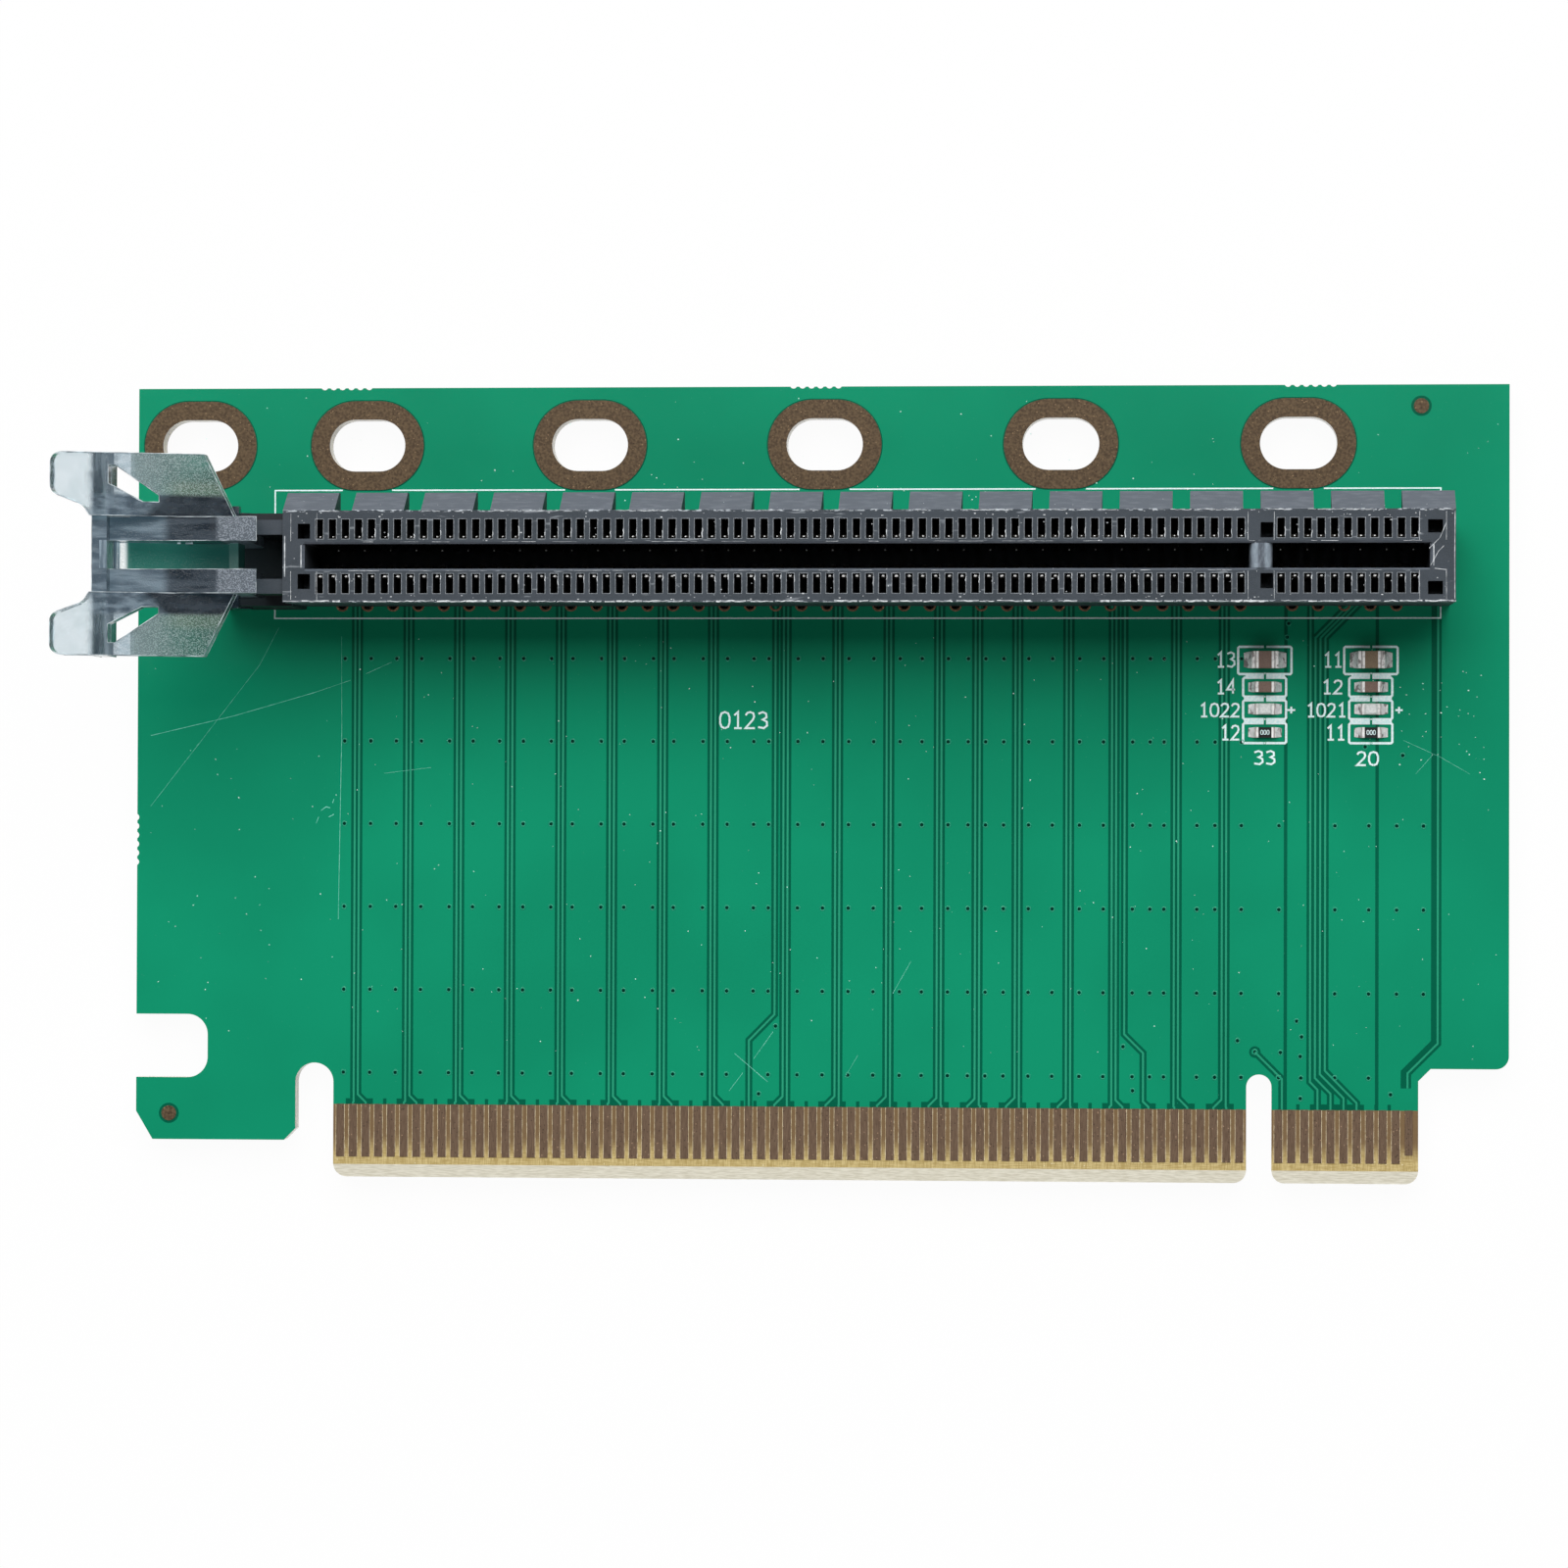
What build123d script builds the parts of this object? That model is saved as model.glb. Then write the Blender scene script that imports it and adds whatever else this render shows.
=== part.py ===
from build123d import *
import math
import os

# Riser card with a sixteen-lane expansion slot, lying flat with the slot facing up.
# Millimetres. X runs along the edge fingers, Y from the fingers to the slotted holes,
# Z up out of the component face. The origin is the middle of the key notch,
# on the bottom edge of the tongue, in the component face.

# Circuit board
board_thickness = 1.6
board_left = -87.65
board_right = 19.15
board_top = 61.65
board_corner_radius = 1.0
shoulder_y = 8.9
shoulder_chamfer = 0.95
tongue_corner_radius = 1.0
bevel_length = 1.0
bevel_depth = 0.45
foot_bottom = 2.85
foot_chamfer_x = 1.3
foot_chamfer_y = 2.2
foot_inner_chamfer = 0.9
hook_slot_width = 3.0
hook_slot_top = 8.9
side_notch_depth = 5.65
side_notch_low = 7.7
side_notch_height = 4.95
side_notch_radius = 1.6
snap_tab_pitch = 0.7
snap_tab_count = 6
snap_tab_depth = 0.15
snap_bite_share = 0.4
left_snap_tab_y = 26.3
top_snap_tab_x = (-71.2, -34.4, 3.9)

# Contacts, shared by the edge fingers and the slot
contact_pitch = 1.0
long_count = 71
short_count = 11
key_to_contact = 1.5
key_width = 1.95
key_notch_top = 8.4

# Edge fingers
tongue_margin_left = 0.55
tongue_margin_right = 0.72
finger_width = 0.6
finger_thickness = 0.05
finger_bottom = 1.6
finger_length = 4.1
finger_setback = 0.65
short_fingers_front = (1,)
short_fingers_back = (17, 31, 48, 81)

# Slotted holes along the far edge
slot_hole_length = 5.95
slot_hole_width = 4.05
slot_hole_inset = 4.5
pad_rim = 1.45
pad_thickness = 0.05
first_hole_x = -82.75
second_hole_step = 13.2
third_hole_step = 17.5
hole_step = 18.34

# Fiducial marks: distance of each from its nearest board edges
fiducial_radius = 0.58
fiducial_from_left = 2.6
fiducial_from_foot = 2.05
fiducial_from_right = 6.75
fiducial_from_top = 1.65

# Slot connector
slot_from_top = 13.78
slot_height = 11.25
slot_half_width = 3.5
slot_draft = 0.2
slot_end_left = 2.83
slot_end_right = 3.07
channel_width = 1.9
channel_floor = 3.2
channel_end = 1.15
channel_lead_in = 0.2
channel_side_lead_in = 0.15
key_bar_width = 1.75
cell_width = 0.52
cell_inner = 1.34
cell_outer = 2.82
cell_floor = 2.5
lip_thickness = 0.8
pocket_depth = 3.0
pocket_width = 0.95
pocket_length = 1.15
left_pocket_inset = 1.63
right_pocket_inset = 1.53
right_pocket_width = 1.12
right_pocket_length = 1.0
right_pocket_shift = 0.13
rib_count = 17
rib_gap = 1.33
rib_reach = 1.5
rib_slope_drop = 2.35
rib_edge = 0.65
peg_radius = 1.1
peg_clearance = 0.08
peg_length = 2.4

# Slot contacts
contact_width = 0.4
contact_thickness = 0.2
contact_touch = 0.62
contact_touch_height = 7.8
contact_tip = 1.56
contact_tip_height = 10.0
contact_bend_height = 0.3
inner_row = 1.25
outer_row = 3.02
tail_length = 2.9
tail_clearance = 0.06
pin_hole = 0.64
outer_hole_shift = 0.18

# Latch end of the slot connector
rail_length = 2.1
rail_inner = 1.69
rail_outer = 2.82
rail_height = 10.8
cheek_length = 6.1
cheek_height = 6.8
cheek_thickness = 0.58
tail_floor = 1.6
tail_floor_length = 4.7

# Retention latch
pivot_from_slot = 4.3
pivot_height = 4.3
pivot_radius = 0.8
pivot_clearance = 0.06
pivot_boss_radius = 1.6
pivot_pin_proud = 0.15
leg_inner = 1.08
leg_thickness = 1.82
leg_side_clearance = 0.08
leg_length = 12.4
leg_height = 13.7
leg_over_rail = 0.5
leg_rail_gap = 0.3
leg_end_slant = 0.5
lever_root = 3.4
bridge_length = 0.65
web_thickness = 1.0
web_low = 7.6
weld = 0.3
tooth_from_end = 1.95
tooth_length = 0.7
tooth_low = 7.8
tooth_high = 10.4
wing_half_span = 7.68
wing_thickness = 1.2
wing_slope = 19.5
wing_low_top = 11.54
wing_root_gap = 1.95
wing_tip_gap = 4.15
lobe_reach = 2.8
lobe_inner = 4.6
neck_reach = 0.45
neck_width = 3.65
lobe_radius = 0.8
neck_radius = 1.2
wall_thickness = 1.15
wall_low = 11.0
window_from_wall = 1.35
window_from_side = 0.95
window_length = 3.65
window_width = 1.4
window_toe = 0.5
window_drop = 2.25
window_flat = 1.2
lug_length = 0.5
lug_reach = 1.0
lug_high = 10.3
lug_depth = 1.0

# Small parts beside the slot
left_column_x = 0.42
right_column_x = 8.57
row_below_slot = (7.48, 9.57, 11.27, 13.08)
chip_large = (2.0, 1.3, 1.1)
chip_small = (1.6, 0.8, 0.8)
resistor_height = 0.45
led_base_height = 0.3
led_lens_height = 0.35
led_width = 0.85
terminal_large = 0.5
terminal_small = 0.3
solder_run_large = 0.65
solder_run_small = 0.5
solder_climb = 0.75

# Values worked out from the ones above
slot_centre_y = board_top - slot_from_top
long_end_x = -(key_to_contact + (long_count - 1) * contact_pitch)
short_end_x = key_to_contact + (short_count - 1) * contact_pitch
tongue_left = long_end_x - tongue_margin_left
tongue_right = short_end_x + tongue_margin_right
slot_left = long_end_x - slot_end_left
slot_right = short_end_x + slot_end_right
hole_y = board_top - slot_hole_inset
pivot_x = slot_left - pivot_from_slot
leg_outer = leg_inner + leg_thickness
cheek_inner = leg_outer + leg_side_clearance
cheek_outer = cheek_inner + cheek_thickness
leg_right = slot_left - rail_length + leg_over_rail
leg_left = leg_right - leg_length


def rect(x0, x1, y0, y1):
    """Rectangle between two corners."""
    return Pos((x0 + x1) / 2, (y0 + y1) / 2) * Rectangle(x1 - x0, y1 - y0)


def block(x0, x1, y0, y1, z0, z1):
    """Box between two corners."""
    centre = Pos((x0 + x1) / 2, (y0 + y1) / 2, (z0 + z1) / 2)
    return centre * Box(x1 - x0, y1 - y0, z1 - z0)


def both_sides(solid):
    """A solid and its mirror image across the slot's long centre plane."""
    return [solid, mirror(solid, about=Plane.XZ)]


def on_slot(shape):
    """Moves a shape from the slot's own centre plane to its place on the board."""
    return Pos(0, slot_centre_y, 0) * shape


def group(solids):
    """Separate like solids kept together in one node."""
    return Compound(children=list(solids))


def side_profile(points, y0, y1):
    """A solid with its outline given in X and Z, between two Y values."""
    face = make_face(Plane.XZ * Polyline(*points, close=True))
    return Pos(0, y0, 0) * extrude(face, amount=y1 - y0, dir=(0, 1, 0))


def cross_profile(points, x0, x1):
    """A solid with its outline given in Y and Z, between two X values."""
    face = make_face(Plane.YZ * Polyline(*points, close=True))
    return Pos(x0, 0, 0) * extrude(face, amount=x1 - x0, dir=(1, 0, 0))


def corners_near(sketch, points):
    """The sketch's corners nearest to the points given."""
    found = []
    for x, y in points:
        found.append(min(sketch.vertices(), key=lambda v: math.hypot(v.X - x, v.Y - y)))
    return found


def contact_positions():
    """X of every contact: the long run, then the short one beyond the key."""
    long_run = [-(key_to_contact + n * contact_pitch) for n in range(long_count)]
    short_run = [key_to_contact + n * contact_pitch for n in range(short_count)]
    return long_run + short_run


def pin_number(x):
    """Pin 1 is the outer one of the short run, and the numbers grow past the key."""
    gap_pins = 2 * key_to_contact / contact_pitch - 1
    steps = (short_end_x - x) / contact_pitch
    return round(1 + steps - (gap_pins if x < 0 else 0))


def is_outer_row(x):
    """Tails alternate between the outer and the inner row of pin holes."""
    steps = round((abs(x) - key_to_contact) / contact_pitch)
    return steps % 2 == (0 if x < 0 else 1)


def hole_positions():
    """X of the six slotted holes."""
    first_three = [first_hole_x, first_hole_x + second_hole_step]
    third = first_three[1] + third_hole_step
    return first_three + [third + n * hole_step for n in range(4)]


def board_outline():
    """The board's outline with its tongue, key notch, hook slot and side notch."""
    hook_left = tongue_left - hook_slot_width
    outline = rect(board_left, board_right, shoulder_y, board_top)
    outline += rect(board_left, tongue_right, 0, shoulder_y)
    slope = shoulder_chamfer
    outline += make_face(Polyline(
        (tongue_right, shoulder_y - slope),
        (tongue_right + slope, shoulder_y),
        (tongue_right, shoulder_y),
        close=True,
    ))
    outline -= rect(board_left, hook_left, 0, foot_bottom)
    hook_radius = hook_slot_width / 2
    hook_x = tongue_left - hook_radius
    outline -= rect(hook_left, tongue_left, 0, hook_slot_top - hook_radius)
    outline -= Pos(hook_x, hook_slot_top - hook_radius) * Circle(hook_radius)
    key_radius = key_width / 2
    outline -= rect(-key_radius, key_radius, 0, key_notch_top - key_radius)
    outline -= Pos(0, key_notch_top - key_radius) * Circle(key_radius)
    notch_right = board_left + side_notch_depth
    notch_high = side_notch_low + side_notch_height
    notch = rect(board_left - side_notch_radius, notch_right, side_notch_low, notch_high)
    inner = corners_near(notch, [(notch_right, side_notch_low), (notch_right, notch_high)])
    outline -= fillet(inner, side_notch_radius)
    outline -= make_face(Polyline(
        (board_left, foot_bottom),
        (board_left + foot_chamfer_x, foot_bottom),
        (board_left, foot_bottom + foot_chamfer_y),
        close=True,
    ))
    outline -= make_face(Polyline(
        (hook_left, foot_bottom),
        (hook_left, foot_bottom + foot_inner_chamfer),
        (hook_left - foot_inner_chamfer, foot_bottom),
        close=True,
    ))
    tongue_corners = [(tongue_left, 0), (-key_radius, 0), (key_radius, 0), (tongue_right, 0)]
    outline = fillet(corners_near(outline, tongue_corners), tongue_corner_radius)
    return fillet(corners_near(outline, [(board_right, shoulder_y)]), board_corner_radius)


def snap_tab_bites():
    """Shallow drill scallops where the board was snapped out of its panel."""
    bite_radius = snap_tab_pitch * snap_bite_share
    offset = bite_radius - snap_tab_depth
    first = -(snap_tab_count - 1) * snap_tab_pitch / 2
    steps = [first + n * snap_tab_pitch for n in range(snap_tab_count)]
    bites = [Pos(board_left - offset, left_snap_tab_y + s) * Circle(bite_radius) for s in steps]
    for x in top_snap_tab_x:
        bites += [Pos(x + s, board_top + offset) * Circle(bite_radius) for s in steps]
    return bites


def pin_hole_centres():
    """X and Y of the hole that each slot contact's tail goes through."""
    centres = []
    for x in contact_positions():
        row = outer_row + outer_hole_shift if is_outer_row(x) else inner_row
        centres += [(x, slot_centre_y + row), (x, slot_centre_y - row)]
    return centres


def peg_centres():
    """The two locating pegs under the slot: at the key and under the latch end."""
    return [(0, slot_centre_y), (slot_left - rail_length / 2, slot_centre_y)]


def make_board():
    """Glass-epoxy board, bevelled along the tongue on both faces."""
    sketch = board_outline() - snap_tab_bites()
    hole = SlotOverall(slot_hole_length, slot_hole_width)
    sketch -= [Pos(x, hole_y) * hole for x in hole_positions()]
    sketch -= [Pos(x, y) * Rectangle(pin_hole, pin_hole) for x, y in pin_hole_centres()]
    peg_hole = Circle(peg_radius + peg_clearance)
    sketch -= [Pos(x, y) * peg_hole for x, y in peg_centres()]
    board = extrude(sketch, amount=-board_thickness)
    bevel_top = [(0, 0), (bevel_length, 0), (0, -bevel_depth)]
    back = -board_thickness
    bevel_back = [(0, back), (bevel_length, back), (0, back + bevel_depth)]
    for points in (bevel_top, bevel_back):
        board -= cross_profile(points, tongue_left, tongue_right)
    return board


def make_fingers(face_z, short_fingers):
    """One row of gold-plated edge fingers, standing up from the face at face_z."""
    fingers = []
    for x in contact_positions():
        low = finger_bottom
        if pin_number(x) in short_fingers:
            low += finger_setback
        high = finger_bottom + finger_length
        half = finger_width / 2
        fingers.append(block(x - half, x + half, low, high, face_z, face_z + finger_thickness))
    return group(fingers)


def make_hole_pads(face_z):
    """Bare copper ring round each slotted hole, on one face of the board."""
    outer = SlotOverall(slot_hole_length + 2 * pad_rim, slot_hole_width + 2 * pad_rim)
    ring = outer - SlotOverall(slot_hole_length, slot_hole_width)
    pad = extrude(ring, amount=pad_thickness)
    return group(Pos(x, hole_y, face_z) * pad for x in hole_positions())


def make_fiducials():
    """Round copper marks at two opposite corners."""
    mark = extrude(Circle(fiducial_radius), amount=pad_thickness)
    low = (board_left + fiducial_from_left, foot_bottom + fiducial_from_foot)
    high = (board_right - fiducial_from_right, board_top - fiducial_from_top)
    return group(Pos(x, y, 0) * mark for x, y in (low, high))


def slot_body():
    """Drafted bar of the slot with the ribs along its far side."""
    base = slot_half_width - slot_draft
    section = [
        (-base, 0), (base, 0),
        (slot_half_width, slot_height), (-slot_half_width, slot_height),
    ]
    body = cross_profile(section, slot_left, slot_right)
    rib_outer = slot_half_width + rib_reach
    rib_shoulder = slot_height - rib_slope_drop
    rib_section = [
        (0, slot_height), (slot_half_width, slot_height), (rib_outer, rib_shoulder),
        (rib_outer, rib_shoulder - rib_edge), (0, rib_shoulder - rib_edge),
    ]
    rib_pitch = (slot_right - slot_left + rib_gap) / rib_count
    rib_width = rib_pitch - rib_gap
    rib = cross_profile(rib_section, 0, rib_width)
    return body + [Pos(slot_left + n * rib_pitch, 0, 0) * rib for n in range(rib_count)]


def latch_end():
    """Rails, floor and cheeks that carry the retention latch."""
    rail_left = slot_left - rail_length
    rail = block(rail_left, slot_left, rail_inner, rail_outer, 0, rail_height)
    cheek_left = slot_left - cheek_length
    low = block(cheek_left + pivot_boss_radius, slot_left, cheek_inner, cheek_outer, 0, cheek_height)
    nose = side_profile([
        (cheek_left, 0), (cheek_left + pivot_boss_radius, 0),
        (cheek_left + pivot_boss_radius, cheek_height),
        (cheek_left, cheek_height - pivot_boss_radius),
    ], cheek_inner, cheek_outer)
    web = block(rail_left, slot_left, rail_outer, cheek_inner, 0, cheek_height)
    floor = block(slot_left - tail_floor_length, slot_left, -cheek_outer, cheek_outer, 0, tail_floor)
    parts = [floor]
    for piece in (rail, low, nose, web):
        parts += both_sides(piece)
    return parts


def contact_cells():
    """Cuts for one pair of facing contacts at every position."""
    half = cell_width / 2
    tail = contact_thickness / 2 + tail_clearance
    lean = (outer_row - contact_touch) / (contact_touch_height - contact_bend_height)
    outer_inner_edge = outer_row - lean * (cell_floor - contact_bend_height) - tail
    cuts = []
    for x in contact_positions():
        cell = block(x - half, x + half, cell_inner, cell_outer, cell_floor, slot_height)
        if is_outer_row(x):
            slot = block(x - half, x + half, outer_inner_edge, outer_row + tail, 0, cell_floor)
        else:
            slot = block(x - half, x + half, inner_row - tail, inner_row + tail, 0, channel_floor)
        cuts += both_sides(cell) + both_sides(slot)
    return cuts


def channel_cuts():
    """The card channel either side of the key bar, and the slits to the cells."""
    half = channel_width / 2
    key_half = key_bar_width / 2
    lip_low = slot_height - lip_thickness
    run_half = (cell_width + contact_pitch) / 2
    ends = (
        (long_end_x - channel_end, -key_half, long_end_x - run_half, -key_to_contact + run_half),
        (key_half, short_end_x + channel_end, key_to_contact - run_half, short_end_x + run_half),
    )
    cuts = []
    for left, right, slit_left, slit_right in ends:
        cuts.append(block(left, right, -half, half, channel_floor, slot_height))
        slit_left = max(slit_left, left)
        slit_right = min(slit_right, right)
        cuts.append(block(slit_left, slit_right, -cell_inner, cell_inner, channel_floor, lip_low))
    left_mouth = long_end_x - channel_end
    cuts.append(side_profile([
        (left_mouth - channel_lead_in, slot_height), (left_mouth, slot_height),
        (left_mouth, slot_height - channel_lead_in),
    ], -half, half))
    right_mouth = short_end_x + channel_end
    cuts.append(side_profile([
        (right_mouth, slot_height), (right_mouth + channel_lead_in, slot_height),
        (right_mouth, slot_height - channel_lead_in),
    ], -half, half))
    return cuts + channel_side_lead_ins(left_mouth, right_mouth)


def channel_side_lead_ins(left, right):
    """Small slopes along the channel's long edges, and the rounded top of the key bar."""
    half = channel_width / 2
    wide = half + channel_side_lead_in
    low = slot_height - channel_side_lead_in
    key_half = key_bar_width / 2
    axis = slot_height - key_half
    slopes = [(-wide, slot_height), (wide, slot_height), (half, low), (-half, low)]
    over_key = [
        (-wide, slot_height), (wide, slot_height), (half, low),
        (half, axis), (-half, axis), (-half, low),
    ]
    key_top = Pos(0, 0, axis) * Cylinder(key_half, 2 * wide, rotation=(90, 0, 0))
    return [
        cross_profile(slopes, left, -key_half),
        cross_profile(slopes, key_half, right),
        cross_profile(over_key, -key_half, key_half) - key_top,
    ]


def core_pockets():
    """Square moulding pockets at both ends and beside the key."""
    low = slot_height - pocket_depth
    cuts = []
    for x in (slot_left + left_pocket_inset, key_bar_width / 4):
        left = x - pocket_width / 2
        pocket = block(left, left + pocket_width, cell_inner, cell_inner + pocket_length, low, slot_height)
        cuts += both_sides(pocket)
    left = slot_right - right_pocket_inset - right_pocket_width / 2
    right = left + right_pocket_width
    inner = cell_inner + pocket_width / 2
    pocket = block(left, right, inner, inner + right_pocket_length, low, slot_height)
    return cuts + [Pos(0, -right_pocket_shift, 0) * piece for piece in both_sides(pocket)]


def pivot_cylinder(radius, half_length):
    """A bar along Y on the latch's pivot axis."""
    bar = Cylinder(radius, 2 * half_length, rotation=(90, 0, 0))
    return Pos(pivot_x, 0, pivot_height) * bar


def make_housing():
    """The slot's moulded housing with its two locating pegs."""
    housing = slot_body() + latch_end()
    housing -= contact_cells() + channel_cuts() + core_pockets()
    housing -= pivot_cylinder(pivot_radius + pivot_clearance, 2 * cheek_outer)
    housing = on_slot(housing)
    peg = Cylinder(peg_radius, peg_length, align=(Align.CENTER, Align.CENTER, Align.MAX))
    return housing + [Pos(x, y, 0) * peg for x, y in peg_centres()]


def strip_outline(path, thickness):
    """Outline of a bent strip of even thickness that follows a path."""
    left = []
    right = []
    for n, (y, z) in enumerate(path):
        y0, z0 = path[max(n - 1, 0)]
        y1, z1 = path[min(n + 1, len(path) - 1)]
        before = math.atan2(z - z0, y - y0) if n else None
        after = math.atan2(z1 - z, y1 - y) if n < len(path) - 1 else before
        before = after if before is None else before
        middle = (before + after) / 2
        reach = thickness / 2 / math.cos((after - before) / 2)
        left.append((y - reach * math.sin(middle), z + reach * math.cos(middle)))
        right.append((y + reach * math.sin(middle), z - reach * math.cos(middle)))
    return left + right[::-1]


def contact_path(outer):
    """Middle line of a contact from its tail to its tip."""
    tail_low = -tail_length
    touch = (contact_touch, contact_touch_height)
    tip = (contact_tip, contact_tip_height)
    if outer:
        return [(outer_row, tail_low), (outer_row, contact_bend_height), touch, tip]
    return [(inner_row, tail_low), (inner_row, channel_floor), touch, tip]


def make_contacts(side):
    """Spring contacts along one side of the card channel: side is 1 or -1."""
    half = contact_width / 2
    contacts = []
    for outer in (True, False):
        outline = strip_outline(contact_path(outer), contact_thickness)
        contact = cross_profile([(side * y, z) for y, z in outline], -half, half)
        places = [x for x in contact_positions() if is_outer_row(x) == outer]
        contacts += [on_slot(Pos(x, 0, 0) * contact) for x in places]
    return group(contacts)


def latch_leg():
    """One arm of the latch, from the pivot boss up to the finger plate."""
    root = pivot_height + pivot_boss_radius
    rail_side = slot_left - rail_length - leg_rail_gap
    rail_top = rail_height + leg_rail_gap
    arm = side_profile([
        (leg_left, leg_height), (leg_right, leg_height),
        (leg_right - leg_end_slant, rail_top), (rail_side, rail_top),
        (pivot_x + pivot_boss_radius, pivot_height),
        (pivot_x - pivot_boss_radius, pivot_height),
        (pivot_x - lever_root, root + lever_root),
        (leg_left, wall_low),
    ], leg_inner, leg_outer)
    boss = Cylinder(pivot_boss_radius, leg_thickness, rotation=(90, 0, 0))
    arm += Pos(pivot_x, leg_inner + leg_thickness / 2, pivot_height) * boss
    pin_length = cheek_outer + pivot_pin_proud - leg_outer
    pin = Cylinder(pivot_radius, pin_length, rotation=(90, 0, 0))
    return arm + Pos(pivot_x, leg_outer + pin_length / 2, pivot_height) * pin


def window_outline():
    """Slanting window in a wing, from the cross wall towards the arm."""
    left = leg_left + window_from_wall
    right = left + window_length
    high = wing_half_span - window_from_side
    toe = high - window_drop
    return make_face(Polyline(
        (left, high),
        (left, high - window_width),
        (right - window_flat, toe - window_toe),
        (right, toe - window_toe),
        (right, toe),
        (left + window_toe, high),
        close=True,
    ))


def wing_outline():
    """Plan outline of one wing, with its thumb lobe beyond the latch's body."""
    lobe_left = leg_left - lobe_reach
    wing = make_face(Polyline(
        (lobe_left, lobe_inner),
        (leg_left - neck_reach, neck_width),
        (leg_left, leg_outer),
        (leg_right - wing_root_gap, leg_outer),
        (leg_right - wing_tip_gap, wing_half_span),
        (lobe_left, wing_half_span),
        close=True,
    ))
    lobe = corners_near(wing, [(lobe_left, wing_half_span), (lobe_left, lobe_inner)])
    wing = fillet(lobe, lobe_radius)
    neck = corners_near(wing, [(leg_left - neck_reach, neck_width)])
    return fillet(neck, neck_radius) - window_outline()


def wing_top(x):
    """Height of the wings' sloping top face at a given X."""
    return wing_low_top + (leg_right - x) * math.tan(math.radians(wing_slope))


def latch_wing():
    """One sloping wing: a plate that rises from the pivot end to the thumb lobe."""
    depth = wing_thickness / math.cos(math.radians(wing_slope))
    lobe_left = leg_left - lobe_reach
    slab = side_profile([
        (leg_right, wing_top(leg_right)), (lobe_left, wing_top(lobe_left)),
        (lobe_left, wing_top(lobe_left) - depth), (leg_right, wing_top(leg_right) - depth),
    ], leg_outer, wing_half_span)
    column = extrude(wing_outline(), amount=2 * leg_height)
    return slab & column


def latch_cross_pieces():
    """Half of each piece that joins the two arms, and the stop lug beside an arm."""
    wall_right = leg_left + wall_thickness
    wall_high = wing_top(wall_right) - wing_thickness / 2
    wall = block(leg_left, wall_right, 0, wing_half_span, wall_low, wall_high)
    bridge = block(leg_left, leg_left + bridge_length, 0, leg_outer, wall_low, leg_height)
    web_left = leg_left + bridge_length / 2
    web_right = leg_right - tooth_from_end
    web = side_profile([
        (web_left, wall_low), (web_left, wall_low + web_thickness),
        (web_right, web_low + web_thickness), (web_right, web_low),
    ], 0, leg_inner + weld)
    tooth_right = leg_right - tooth_from_end
    tooth_left = tooth_right - tooth_length
    tooth = block(tooth_left, tooth_right, 0, leg_inner + weld, tooth_low, tooth_high)
    lug_right = leg_right - wing_root_gap
    lug_low = lug_high - lug_depth
    lug_outer = leg_outer + lug_reach
    lug = block(lug_right - lug_length, lug_right, leg_outer - weld, lug_outer, lug_low, lug_high)
    return [wall, bridge, web, tooth, lug]


def make_latch():
    """Clear card latch, moulded in one piece with its pivot pins."""
    solids = []
    for piece in [latch_leg(), latch_wing()] + latch_cross_pieces():
        solids += both_sides(piece)
    latch = solids[0].fuse(*solids[1:]).clean()
    return on_slot(latch)


def chip_places(columns, row):
    """Centres of the small parts in one row of the two columns."""
    return [(x, slot_centre_y - row_below_slot[row]) for x in columns]


def chip_body(x, y, size, terminal, low=0.0):
    """Middle block of a chip part, between its end terminals."""
    length, width, height = size
    half = length / 2 - terminal
    return block(x - half, x + half, y - width / 2, y + width / 2, low, low + height)


def chip_terminals(x, y, size, terminal):
    """The two metal end caps of a chip part."""
    length, width, height = size
    caps = []
    for side in (-1, 1):
        inner = x + side * (length / 2 - terminal)
        outer = x + side * length / 2
        low, high = sorted((inner, outer))
        caps.append(block(low, high, y - width / 2, y + width / 2, 0, height))
    return caps


def solder_fillets(x, y, size, run):
    """Solder that slopes from each end cap down to the board."""
    length, width, height = size
    fillets = []
    for side in (-1, 1):
        end = x + side * length / 2
        points = [(end, 0), (end + side * run, 0), (end, height * solder_climb)]
        fillets.append(side_profile(points, y - width / 2, y + width / 2))
    return fillets


def make_capacitor(x, y, size, terminal):
    """A ceramic chip capacitor: its body, then its end caps."""
    return chip_body(x, y, size, terminal), group(chip_terminals(x, y, size, terminal))


def make_led(x, y):
    """A chip light: its base, its clear lens and its end caps."""
    length, width, _ = chip_small
    size = (length, led_width, led_base_height)
    base = chip_body(x, y, size, terminal_small)
    lens_half = length / 2 - terminal_small
    lens = block(
        x - lens_half, x + lens_half, y - led_width / 2, y + led_width / 2,
        led_base_height, led_base_height + led_lens_height,
    )
    lens = chamfer(lens.faces().sort_by(Axis.Z)[-1].edges(), led_lens_height / 3)
    return base, lens, group(chip_terminals(x, y, size, terminal_small))


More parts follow.
